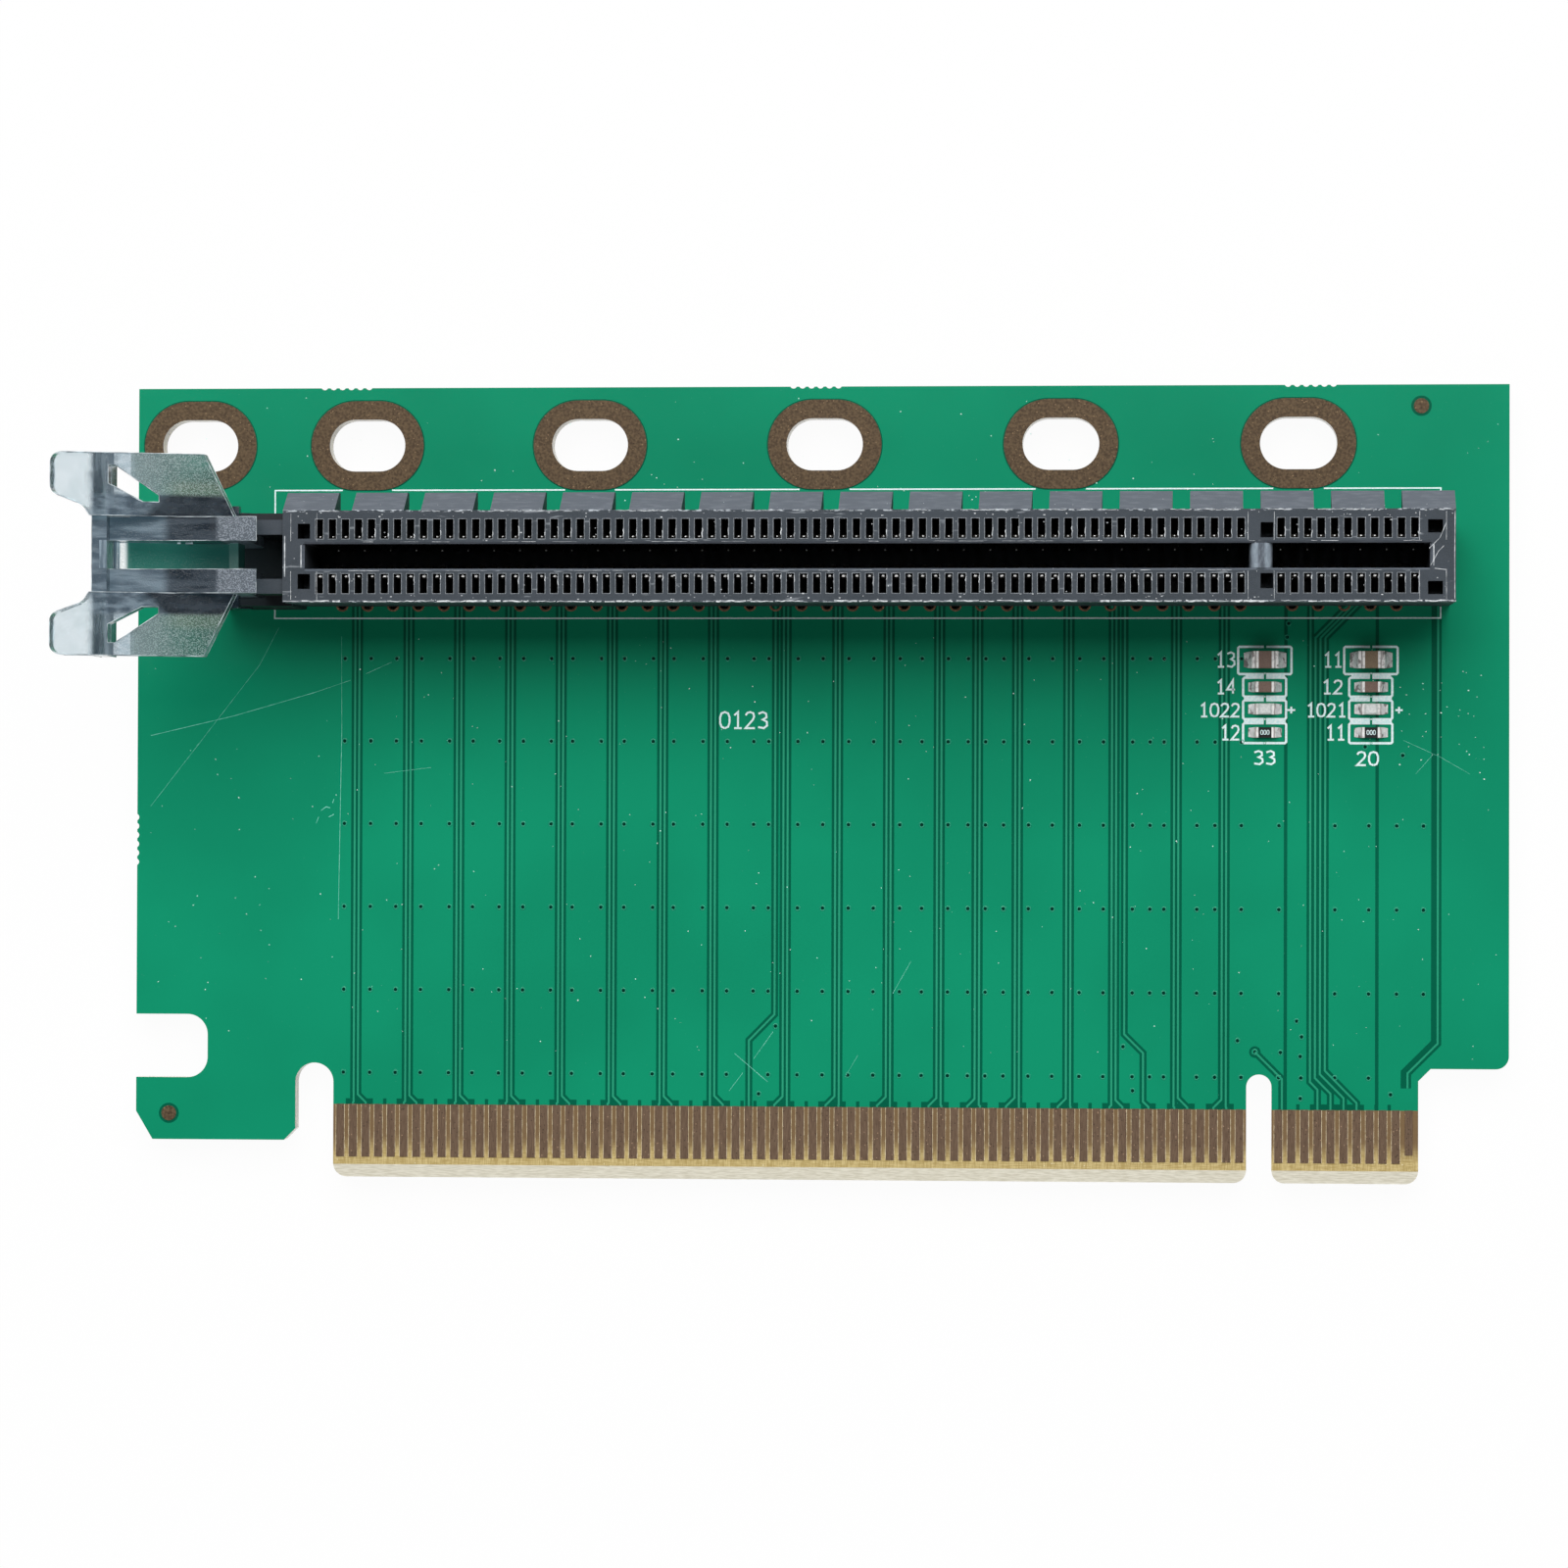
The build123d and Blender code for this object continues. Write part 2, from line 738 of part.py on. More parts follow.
def make_small_parts():
    """Every chip part beside the slot, as named solids, and their solder."""
    parts = {}
    solder = []
    columns = (left_column_x, right_column_x)
    kinds = ((chip_large, terminal_large, solder_run_large), (chip_small, terminal_small, solder_run_small))
    names = (("capacitor_3", "capacitor_1"), ("capacitor_4", "capacitor_2"))
    for row, (size, terminal, run) in enumerate(kinds):
        for name, (x, y) in zip(names[row], chip_places(columns, row)):
            body, caps = make_capacitor(x, y, size, terminal)
            parts[name + "_body"] = body
            parts[name + "_terminals"] = caps
            solder += solder_fillets(x, y, size, run)
    for name, (x, y) in zip(("led_2", "led_1"), chip_places(columns, 2)):
        base, lens, caps = make_led(x, y)
        parts[name + "_base"] = base
        parts[name + "_lens"] = lens
        parts[name + "_terminals"] = caps
        size = (chip_small[0], led_width, led_base_height)
        solder += solder_fillets(x, y, size, solder_run_small)
    size = (chip_small[0], chip_small[1], resistor_height)
    for name, (x, y) in zip(("resistor_2", "resistor_1"), chip_places(columns, 3)):
        body, caps = make_capacitor(x, y, size, terminal_small)
        parts[name + "_body"] = body
        parts[name + "_terminals"] = caps
        solder += solder_fillets(x, y, size, solder_run_small)
    parts["chip_solder"] = group(solder)
    return parts


def main():
    """Builds every node and writes each to its own file."""
    parts = {
        "circuit_board": make_board(),
        "edge_fingers_front": make_fingers(0, short_fingers_front),
        "edge_fingers_back": make_fingers(-board_thickness - finger_thickness, short_fingers_back),
        "hole_pads_front": make_hole_pads(0),
        "hole_pads_back": make_hole_pads(-board_thickness - pad_thickness),
        "fiducial_marks": make_fiducials(),
        "slot_housing": make_housing(),
        "slot_contacts_far": make_contacts(1),
        "slot_contacts_near": make_contacts(-1),
        "retention_latch": make_latch(),
    }
    parts.update(make_small_parts())
    os.makedirs("parts", exist_ok=True)
    for name, shape in parts.items():
        export_step(shape, f"parts/{name}.step")


main()
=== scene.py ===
import math
import random

import bmesh
import bpy
from mathutils import Matrix, Vector


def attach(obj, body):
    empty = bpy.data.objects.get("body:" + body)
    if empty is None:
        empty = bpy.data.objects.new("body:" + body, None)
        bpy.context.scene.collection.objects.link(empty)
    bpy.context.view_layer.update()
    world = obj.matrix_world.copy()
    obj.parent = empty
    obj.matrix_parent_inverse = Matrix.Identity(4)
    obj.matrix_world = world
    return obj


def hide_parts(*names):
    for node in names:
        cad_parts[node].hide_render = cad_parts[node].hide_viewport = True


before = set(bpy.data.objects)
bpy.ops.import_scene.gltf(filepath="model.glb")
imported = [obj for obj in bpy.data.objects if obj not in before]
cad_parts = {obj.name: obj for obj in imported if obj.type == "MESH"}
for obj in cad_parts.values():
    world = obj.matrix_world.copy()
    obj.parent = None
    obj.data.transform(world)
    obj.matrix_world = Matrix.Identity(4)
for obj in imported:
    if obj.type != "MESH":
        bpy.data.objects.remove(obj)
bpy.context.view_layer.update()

MM = 0.001

# Places on the card, in mm, as the photograph shows them
BOARD_BACK = -1.6
MASK_EDGE = 5.68
TONGUE_LEFT = -73.5
FINGER_LOW = 1.62
FINGER_HALF = 0.33
FIDUCIALS = ((-85.05, 4.90), (12.40, 60.00))
RING_CENTRES = (-69.55, -52.05, -33.71, -15.37, 2.97)
FIRST_RING = -82.75
RING_Y = 57.15
RING_OUTER = 3.51
RING_STRAIGHT = 0.95
SLOT_LEFT = -74.33
SLOT_RIGHT = 14.57
MOUTH_LEFT = -72.65
MOUTH_RIGHT = 12.65
SLOT_Y = 47.87
SLOT_HALF = 3.5
SLOT_TOP = 11.25
CHANNEL_HALF = 1.1
KEY_HALF = 1.1
BAR_HALF = 0.98
CELL_HALF = 0.29
CELL_RIM = 0.312
CELL_NEAR = 1.32
CELL_FAR = 2.85
TIP_TOP = 10.98
INNER_ROW = 1.25
OUTER_ROW = 3.22
COLUMN_LEFT = 0.42
COLUMN_RIGHT = 8.57
RESISTOR_TOP = 0.45

# X of the contacts on both sides of the key
LONG_RUN = [-71.5 + i for i in range(71)]
SHORT_RUN = [1.5 + i for i in range(11)]
FINGERS = LONG_RUN + SHORT_RUN[:10]

# Rows of small parts: Y, length, half width, how high the solder climbs and how far it runs
SMALL_PARTS = (
    (40.39, 2.0, 0.65, 0.84, 0.65),
    (38.30, 1.6, 0.40, 0.60, 0.50),
    (36.60, 1.6, 0.42, 0.26, 0.50),
    (34.79, 1.6, 0.40, 0.36, 0.50),
)

# Copper layout: each pair of traces has its X and the X of its left finger
TRACE = 0.15
CLEARANCE = 0.2
PAIR_HALF = 0.165
TRACE_TOP = 45.2
FINGER_STUB = 0.45
PAIRS = (
    (-70.29, -70.5), (-66.23, -66.5), (-62.25, -62.5), (-58.23, -58.5), (-54.25, -54.5), (-50.25, -50.5),
    (-46.28, -46.5), (-42.34, -42.5), (-36.68, -37.5), (-32.64, -33.5), (-28.66, -29.5), (-24.73, -25.5),
    (-21.77, -22.5), (-18.67, -19.5), (-14.71, -15.5), (-11.20, -11.5), (-6.40, -6.5), (-2.71, -3.5),
)
SPLITS = (2.02, 9.04)
SPLIT_HALF = 0.13
STUB_FILM = 0.0103
TRACE_VIA = (-0.31, 10.13)
LONG_SIGNALS = (4.30, 4.68, 5.06)
LONG_TOP = 42.1
VIA_ROWS = (40.49, 34.04, 27.59, 21.11, 14.64, 8.16)
VIA_COLUMNS = (
    -71.27, -69.20, -67.19, -65.22, -63.00, -61.15, -59.07, -57.20, -55.01, -53.34, -51.09,
    -49.29, -47.03, -45.42, -43.14, -41.23, -39.17, -38.00, -35.73, -33.78, -31.78, -29.83,
    -27.79, -26.08, -24.05, -22.49, -21.14, -19.74, -17.81, -15.97, -13.87, -12.02, -9.77,
    -8.42, -7.34, -4.80, -3.41, -1.38,
)
RIGHT_VIA_COLUMNS = (1.51, 5.81, 8.41, 10.55, 12.60)
NO_VIA = (-39.17, 8.16)
SINGLE_VIAS = (
    (2.23, 43.22), (2.12, 42.16), (11.00, 33.03), (8.12, 33.69), (2.89, 12.52), (3.27, 11.31),
    (3.17, 9.80), (3.22, 8.14), (3.18, 6.56), (1.65, 10.10), (-1.65, 10.99), (-10.47, 10.48),
    (-9.73, 7.08), (10.10, 6.90), (-37.41, 11.93), (-38.72, 6.67),
)

# Latch: X from its cross wall to the arms' ends, and the arms' sides from the slot's middle
WALL_LEFT = -87.75
WALL_EDGE = -87.18
WALL_SHADE = -87.05
BEND_END = -86.55
BAND_END = -85.35
ARM_END = -76.9
ARM_INNER = 1.06
ARM_OUTER = 2.92

# Print
SLOT_FRAME = (-76.83, 13.89, 43.63, 53.65)
PRINT_LINE = 0.15
FRAME_LINE = 0.11
PRINT_FILM = 0.018
BOX_BREAK = 0.09
BOX_CORNER = 0.1
RING_GAP = 1.95

# The camera, fitted to the fingers and cells in the photograph: mm and degrees
CAMERA_LENS = 126.88
CAMERA_PLACE = (-3.62, 24.90, 428.11)
CAMERA_TURNS = (("Z", -0.110), ("Y", -4.432), ("X", -0.782))


# Mesh building, all in mm

def add_object(name, data):
    obj = bpy.data.objects.new(name, data)
    bpy.context.scene.collection.objects.link(obj)
    return obj


class Shape:
    """Vertices and faces of one piece, gathered from simple closed parts."""

    def __init__(self):
        self.verts = []
        self.faces = []

    def prism(self, outline, low, high):
        """Closed solid over a convex outline."""
        count, start = len(outline), len(self.verts)
        self.verts += [(x, y, low) for x, y in outline]
        self.verts += [(x, y, high) for x, y in outline]
        self.faces.append([start + i for i in reversed(range(count))])
        self.faces.append([start + count + i for i in range(count)])
        for i in range(count):
            j = (i + 1) % count
            self.faces.append([start + i, start + j, start + count + j, start + count + i])

    def plate(self, x0, x1, y0, y1, low, high):
        self.prism([(x0, y0), (x1, y0), (x1, y1), (x0, y1)], low, high)

    def ribbon(self, points, width, low, high, closed=False):
        """Flat strip of one width along a line with mitred corners."""
        points = [Vector(point) for point in points]
        count = len(points)
        left, right = [], []
        for i, point in enumerate(points):
            before = points[i - 1] if closed or i else None
            after = points[(i + 1) % count] if closed or i < count - 1 else None
            a = (point - before).normalized() if before is not None else None
            b = (after - point).normalized() if after is not None else None
            a, b = a or b, b or a
            middle = (a + b).normalized()
            reach = width / 2 / max(0.3, middle.dot(a))
            side = Vector((-middle.y, middle.x)) * reach
            left.append(point + side)
            right.append(point - side)
        start = len(self.verts)
        for level in (low, high):
            self.verts += [(p.x, p.y, level) for p in left]
            self.verts += [(p.x, p.y, level) for p in right]
        up = 2 * count
        for i in range(count if closed else count - 1):
            j = (i + 1) % count
            l0, l1, r0, r1 = start + i, start + j, start + count + i, start + count + j
            self.faces.append([r0 + up, r1 + up, l1 + up, l0 + up])
            self.faces.append([l0, l1, r1, r0])
            self.faces.append([l0, l0 + up, l1 + up, l1])
            self.faces.append([r1, r1 + up, r0 + up, r0])
        if not closed:
            last = start + count - 1
            self.faces.append([start, start + count, start + count + up, start + up])
            self.faces.append([last, last + up, last + count + up, last + count])

    def lathe(self, x, y, profile, sides):
        """Turned form: profile is a loop of (radius, height) points round a vertical axis."""
        start, count = len(self.verts), len(profile)
        for s in range(sides):
            angle = 2 * math.pi * s / sides
            c, d = math.cos(angle), math.sin(angle)
            self.verts += [(x + r * c, y + r * d, z) for r, z in profile]
        for s in range(sides):
            t = (s + 1) % sides
            for i in range(count):
                j = (i + 1) % count
                self.faces.append([
                    start + s * count + i, start + t * count + i,
                    start + t * count + j, start + s * count + j,
                ])

    def make(self, name, material, slot, body="card", smooth=False):
        """Turns the shape into a named object that rides with a body."""
        mesh = bpy.data.meshes.new(name)
        mesh.from_pydata([(x * MM, y * MM, z * MM) for x, y, z in self.verts], [], self.faces)
        mesh.materials.append(material)
        mesh.update()
        if smooth:
            mesh.shade_smooth()
        obj = add_object(name, mesh)
        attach(obj, body)
        return obj


# Node materials

class Nodes:
    """Short calls for the nodes of one tree."""

    def __init__(self, tree):
        self.tree = tree

    def add(self, kind):
        return self.tree.nodes.new("ShaderNode" + kind)

    def feed(self, socket, value):
        if isinstance(value, bpy.types.NodeSocket):
            self.tree.links.new(value, socket)
        elif isinstance(value, tuple) and len(value) == 3 and len(socket.default_value) == 4:
            socket.default_value = (*value, 1)
        else:
            socket.default_value = value

    def split(self, vector):
        node = self.add("SeparateXYZ")
        self.feed(node.inputs[0], vector)
        return node.outputs

    def math(self, operation, a, b=0.0):
        node = self.add("Math")
        node.operation = operation
        self.feed(node.inputs[0], a)
        self.feed(node.inputs[1], b)
        return node.outputs[0]

    def times(self, first, *others):
        for other in others:
            first = self.math("MULTIPLY", first, other)
        return first

    def plus(self, a, b):
        return self.math("ADD", a, b)

    def minus(self, a, b):
        return self.math("SUBTRACT", a, b)

    def larger(self, a, b):
        return self.math("MAXIMUM", a, b)

    def over(self, a, b):
        return self.math("GREATER_THAN", a, b)

    def under(self, a, b):
        return self.math("LESS_THAN", a, b)

    def absolute(self, a):
        return self.math("ABSOLUTE", a)

    def away(self, a, b):
        """How far one value is from another, without its sign."""
        return self.absolute(self.minus(a, b))

    def ramp(self, value, start, end, low=0.0, high=1.0, kind="SMOOTHSTEP"):
        """Step of a value between two limits, smooth unless told otherwise."""
        node = self.add("MapRange")
        node.interpolation_type = kind
        for key, amount in (("From Min", start), ("From Max", end), ("To Min", low), ("To Max", high)):
            node.inputs[key].default_value = amount
        self.feed(node.inputs["Value"], value)
        return node.outputs["Result"]

    def mix(self, factor, a, b):
        node = self.add("Mix")
        node.data_type = "RGBA"
        self.feed(node.inputs["Factor"], factor)
        self.feed(node.inputs[6], a)
        self.feed(node.inputs[7], b)
        return node.outputs[2]


class Look(Nodes):
    """A material with one Principled shader, and its patterns in mm."""

    def __init__(self, name, roughness=0.5, metallic=0.0, specular=0.5):
        self.material = bpy.data.materials.new(name)
        self.material.use_nodes = True
        super().__init__(self.material.node_tree)
        self.shader = self.tree.nodes["Principled BSDF"]
        self.put("Roughness", roughness)
        self.put("Metallic", metallic)
        self.put("Specular IOR Level", specular)
        coords = self.add("TexCoord").outputs
        scale = self.add("VectorMath")
        scale.operation = "SCALE"
        scale.inputs["Scale"].default_value = 1 / MM
        self.feed(scale.inputs[0], coords["Object"])
        self.place = scale.outputs["Vector"]
        self.x, self.y, self.z = self.split(self.place)
        self.up = self.split(coords["Normal"])[2]

    def put(self, key, value):
        """Sets one of the shader's own inputs."""
        self.feed(self.shader.inputs[key], value)

    def noise(self, scale, detail=2.0, stretch=(1, 1, 1)):
        """Noise with its grain counted per mm."""
        mapping = self.add("Mapping")
        mapping.inputs["Scale"].default_value = stretch
        self.feed(mapping.inputs["Vector"], self.place)
        node = self.add("TexNoise")
        node.inputs["Scale"].default_value = scale
        node.inputs["Detail"].default_value = detail
        self.feed(node.inputs["Vector"], mapping.outputs[0])
        return node.outputs[0]

    def spots(self, scale, threshold):
        """Sparse round flecks."""
        node = self.add("TexVoronoi")
        node.inputs["Scale"].default_value = scale
        self.feed(node.inputs["Vector"], self.place)
        return self.ramp(node.outputs["Distance"], threshold, threshold * 0.5)

    def colour(self, value):
        self.put("Base Color", value)

    def rough(self, value):
        self.put("Roughness", value)

    def bump(self, height, distance, strength=1.0):
        node = self.add("Bump")
        node.inputs["Strength"].default_value = strength
        node.inputs["Distance"].default_value = distance * MM
        self.feed(node.inputs["Height"], height)
        self.put("Normal", node.outputs[0])

    def show_instead(self, share, other):
        """Shows another shader's output in place of the main one, by a share from 0 to 1."""
        both = self.add("MixShader")
        self.feed(both.inputs[0], share)
        self.feed(both.inputs[1], self.shader.outputs[0])
        self.feed(both.inputs[2], other.outputs[0])
        self.feed(self.tree.nodes["Material Output"].inputs["Surface"], both.outputs[0])


MASK = (0.0055, 0.260, 0.134)
MASK_DARK = (0.0015, 0.108, 0.058)
MASK_LIGHT = (0.022, 0.300, 0.170)


def mask_tone(look, base):
    """Solder mask: even green with slow drift, sparse flecks and a slightly uneven gloss."""
    drift = look.ramp(look.noise(0.05, 3), 0.35, 0.65)
    grain = look.noise(9, 3)
    deeper = tuple(c * 0.93 for c in base)
    lighter = tuple(c * 1.05 for c in base)
    tone = look.mix(drift, deeper, lighter)
    flecks = look.spots(1.1, 0.05)
    tone = look.mix(look.times(flecks, 0.25), tone, (0.10, 0.42, 0.28))
    look.rough(look.ramp(grain, 0.2, 0.8, 0.13, 0.19))
    return tone


def board_material():
    """The board: mask on its faces, bare laminate between the fingers, fibre layers on its cut edges."""
    look = Look("solder_mask_board", specular=0.22)
    green = mask_tone(look, MASK)
    weave = look.times(look.noise(2.2, 2, (6, 0.5, 1)), look.noise(2.2, 2, (0.5, 6, 1)))
    laminate = look.mix(look.ramp(weave, 0.15, 0.38), (0.42, 0.31, 0.12), (0.62, 0.50, 0.24))
    laminate = look.mix(look.spots(1.6, 0.09), laminate, (0.78, 0.72, 0.50))
    upper = look.ramp(look.plus(look.y, look.times(look.noise(0.25, 2), 1.6)), 2.2, 4.2)
    laminate = look.mix(look.times(upper, 0.92), laminate, (0.165, 0.102, 0.055))
    layers = look.noise(1.0, 3, (0.4, 0.4, 7))
    edge = look.mix(look.ramp(layers, 0.35, 0.65), (0.50, 0.44, 0.28), (0.80, 0.76, 0.62))
    bevel = look.mix(look.ramp(look.noise(2.6, 5, (0.5, 4, 4)), 0.3, 0.7),
                     (0.72, 0.675, 0.53), (0.93, 0.89, 0.75))
    bare = look.times(look.under(look.y, MASK_EDGE), look.over(look.x, TONGUE_LEFT))
    top = look.mix(bare, green, laminate)
    flat = look.over(look.absolute(look.up), 0.99)
    sloping = look.over(look.absolute(look.up), 0.5)
    side = look.mix(sloping, edge, bevel)
    look.colour(look.mix(flat, side, top))
    look.bump(look.noise(0.6, 3), 0.02, 0.25)
    return look.material


def mask_material(name, base):
    look = Look(name, specular=0.22)
    look.colour(mask_tone(look, base))
    look.bump(look.noise(6, 2), 0.01, 0.2)
    return look.material


def bronze_material(name, dark, light, roughness, streak=(1, 1, 1)):
    """Worn gold plating over copper, brown in plain light, with fine pits and glints."""
    look = Look(name, roughness, 0.15, 0.2)
    grain = look.noise(5, 5, streak)
    tone = look.mix(look.ramp(grain, 0.3, 0.7), dark, light)
    pits = look.spots(3.2, 0.22)
    tone = look.mix(look.times(pits, 0.8), tone, tuple(c * 0.45 for c in dark))
    glints = look.spots(2.6, 0.15)
    tone = look.mix(look.times(glints, 0.8), tone, tuple(min(1, c * 2.6) for c in light))
    look.colour(tone)
    look.rough(look.ramp(grain, 0.25, 0.75, roughness - 0.08, roughness + 0.12))
    look.bump(grain, 0.02, 0.5)
    return look.material


def housing_material():
    """Slate grey moulded plastic: fine grain, pale chips along its long edges, painted light on the
    slopes, near wall and channel floor, painted highlights on the key bar and painted shade in the slot,
    cells and tail.
    """
    look = Look("slate_plastic", 0.5, 0.0, 0.25)
    grain = look.noise(14, 4)
    tone = look.mix(look.ramp(grain, 0.3, 0.7), (0.028, 0.037, 0.046), (0.042, 0.053, 0.066))
    drift = look.ramp(look.noise(0.35, 3, (0.5, 1, 1)), 0.35, 0.65)
    tone = look.mix(look.times(drift, 0.35), tone, (0.062, 0.074, 0.092))
    from_middle = look.away(look.y, SLOT_Y)
    rim = look.ramp(from_middle, SLOT_HALF - 0.16, SLOT_HALF - 0.05)
    high = look.ramp(look.z, SLOT_TOP - 0.12, SLOT_TOP - 0.03)
    chips = look.ramp(look.noise(1.9, 6, (1.4, 4, 4)), 0.53, 0.60)
    worn = look.times(rim, high, chips)
    smears = look.ramp(look.noise(1.3, 6, (0.35, 2.2, 1)), 0.64, 0.70)
    smears = look.times(smears, high, 0.30)
    # Painted light: sloping faces are lighter where they face the key lamp
    slope = look.times(look.ramp(look.up, 0.15, 0.35), look.ramp(look.up, 0.97, 0.90))
    slope_highlight = look.ramp(look.noise(1.6, 5, (0.5, 3, 1)), 0.45, 0.68)
    slope_highlight = look.mix(slope_highlight, (0.098, 0.114, 0.138), (0.130, 0.148, 0.176))
    tone = look.mix(look.times(slope, 0.9), tone, slope_highlight)
    tone = look.mix(look.larger(worn, smears), tone, (0.46, 0.50, 0.54))
    specks = look.times(look.spots(1.4, 0.055), look.larger(high, slope))
    tone = look.mix(specks, tone, (0.62, 0.65, 0.68))
    # Painted shade: the upright faces inside the slot, below its top face, are near black
    upright = look.under(look.absolute(look.up), 0.5)
    within = look.times(upright, look.ramp(from_middle, 2.98, 2.94))
    inside = look.times(within, look.ramp(look.z, SLOT_TOP - 0.02, SLOT_TOP - 0.25))
    tone = look.mix(inside, tone, (0.006, 0.007, 0.008))
    # Painted light: the channel floor is lighter than the near black round it, in place of light that
    # does not reach it
    channel_light = look.ramp(from_middle, CHANNEL_HALF, CHANNEL_HALF - 0.1)
    channel_light = look.times(channel_light, look.ramp(look.z, 10.9, 10.5))
    tone = look.mix(channel_light, tone, (0.070, 0.080, 0.094))
    # Painted shade: a near black band round each contact opening widens its dark hollow
    off_cell = look.away(look.math("FRACT", look.x), 0.5)
    cell_shade = look.times(look.ramp(off_cell, CELL_HALF + 0.005, CELL_HALF - 0.005),
                     look.ramp(from_middle, CELL_NEAR - 0.01, CELL_NEAR + 0.01),
                     look.ramp(from_middle, CELL_FAR + 0.01, CELL_FAR - 0.01))
    off_key_row = look.over(look.absolute(look.x), KEY_HALF)
    in_row = look.times(look.over(look.x, LONG_RUN[0] - 0.4), look.under(look.x, SHORT_RUN[-1] + 0.4))
    cell_shade = look.times(cell_shade, off_key_row, in_row)
    tone = look.mix(cell_shade, tone, (0.005, 0.006, 0.007))
    # Painted shade on the housing's low tail beyond the slot's left end
    tail = look.times(look.under(look.x, SLOT_LEFT - 0.02), look.under(look.z, 7.5))
    tone = look.mix(look.times(tail, 0.85), tone, (0.008, 0.009, 0.011))
    # Painted light on the upper part of the slot's near wall
    near_wall = look.times(upright, look.under(look.y, SLOT_Y - 3.2))
    lit = look.times(near_wall, look.ramp(look.z, 7.5, 10.8))
    tone = look.mix(look.times(lit, 0.8), tone, (0.16, 0.17, 0.19))
    # Painted highlights on the key bar: two pale bands and faint arcs over a darker tone
    off_key = look.away(look.x, 0.03)
    highlight_arcs = look.ramp(look.noise(2.6, 4, (2.5, 0.7, 1)), 0.42, 0.62)
    bar_highlight = look.times(look.ramp(off_key, 0.12, 0.42), look.ramp(off_key, 0.88, 0.62))
    bar_highlight = look.plus(look.times(bar_highlight, 0.75), look.times(highlight_arcs, 0.30))
    bar = look.mix(bar_highlight, (0.075, 0.090, 0.112), (0.29, 0.345, 0.40))
    on_bar = look.times(look.under(off_key, BAR_HALF), look.under(from_middle, 0.93))
    on_bar = look.times(on_bar, look.over(look.up, 0.02))
    tone = look.mix(on_bar, tone, bar)
    look.colour(tone)
    look.rough(look.ramp(grain, 0.25, 0.75, 0.42, 0.6))
    look.bump(grain, 0.02, 0.5)
    return look.material


def contact_material():
    """Contact springs: dull plating with painted shade that makes them darkest near the top, and pale
    tinned tails.
    """
    look = Look("contact_metal", 0.35, 0.9)
    grain = look.noise(6, 3)
    deep = look.mix(look.ramp(grain, 0.3, 0.7), (0.060, 0.050, 0.035), (0.12, 0.10, 0.07))
    tail = look.ramp(look.z, -0.2, -1.0)
    shade = look.mix(look.ramp(look.z, 7.0, 8.5), deep, (0.020, 0.019, 0.017))
    look.colour(look.mix(tail, shade, (0.78, 0.77, 0.74)))
    look.rough(look.ramp(grain, 0.3, 0.7, 0.25, 0.42))
    look.bump(grain, 0.02, 0.4)
    return look.material


def bright_metal(name, tone, roughness, ripple):
    """Tin or solder: pale, with painted reflections as darker lines and patches towards both ends of each
    part.
    """
    look = Look(name, roughness, 0.15)
    grain = look.noise(ripple, 4)
    middle = (COLUMN_LEFT + COLUMN_RIGHT) / 2
    apart = (COLUMN_RIGHT - COLUMN_LEFT) / 2
    # Painted reflections: darker bands and patches that grow towards both ends of each part
    away = look.away(look.away(look.x, middle), apart)
    reflection_wave = look.plus(look.times(away, 17.0), look.times(look.noise(1.3, 2), 3.0))
    band = look.ramp(look.math("SINE", reflection_wave), 0.25, 0.85)
    pale = look.mix(look.ramp(grain, 0.3, 0.7), tuple(c * 0.90 for c in tone), tone)
    dark = look.times(band, look.ramp(away, 1.0, 0.75, 0.15, 0.7))
    reflection_patch = look.ramp(look.noise(1.7, 3, (1.3, 0.8, 1)), 0.54, 0.61)
    dark = look.larger(dark, look.times(reflection_patch, look.ramp(away, 0.6, 0.9, 0.0, 0.8)))
    look.colour(look.mix(dark, pale, (0.15, 0.125, 0.115)))
    look.rough(look.ramp(grain, 0.3, 0.7, roughness * 0.7, roughness * 1.4))
    look.bump(grain, 0.03, 0.5)
    return look.material


def plain_material(name, dark, light, roughness, grain_scale):
    look = Look(name, roughness)
    grain = look.noise(grain_scale, 4)
    look.colour(look.mix(look.ramp(grain, 0.3, 0.7), dark, light))
    look.bump(grain, 0.01, 0.4)
    return look.material


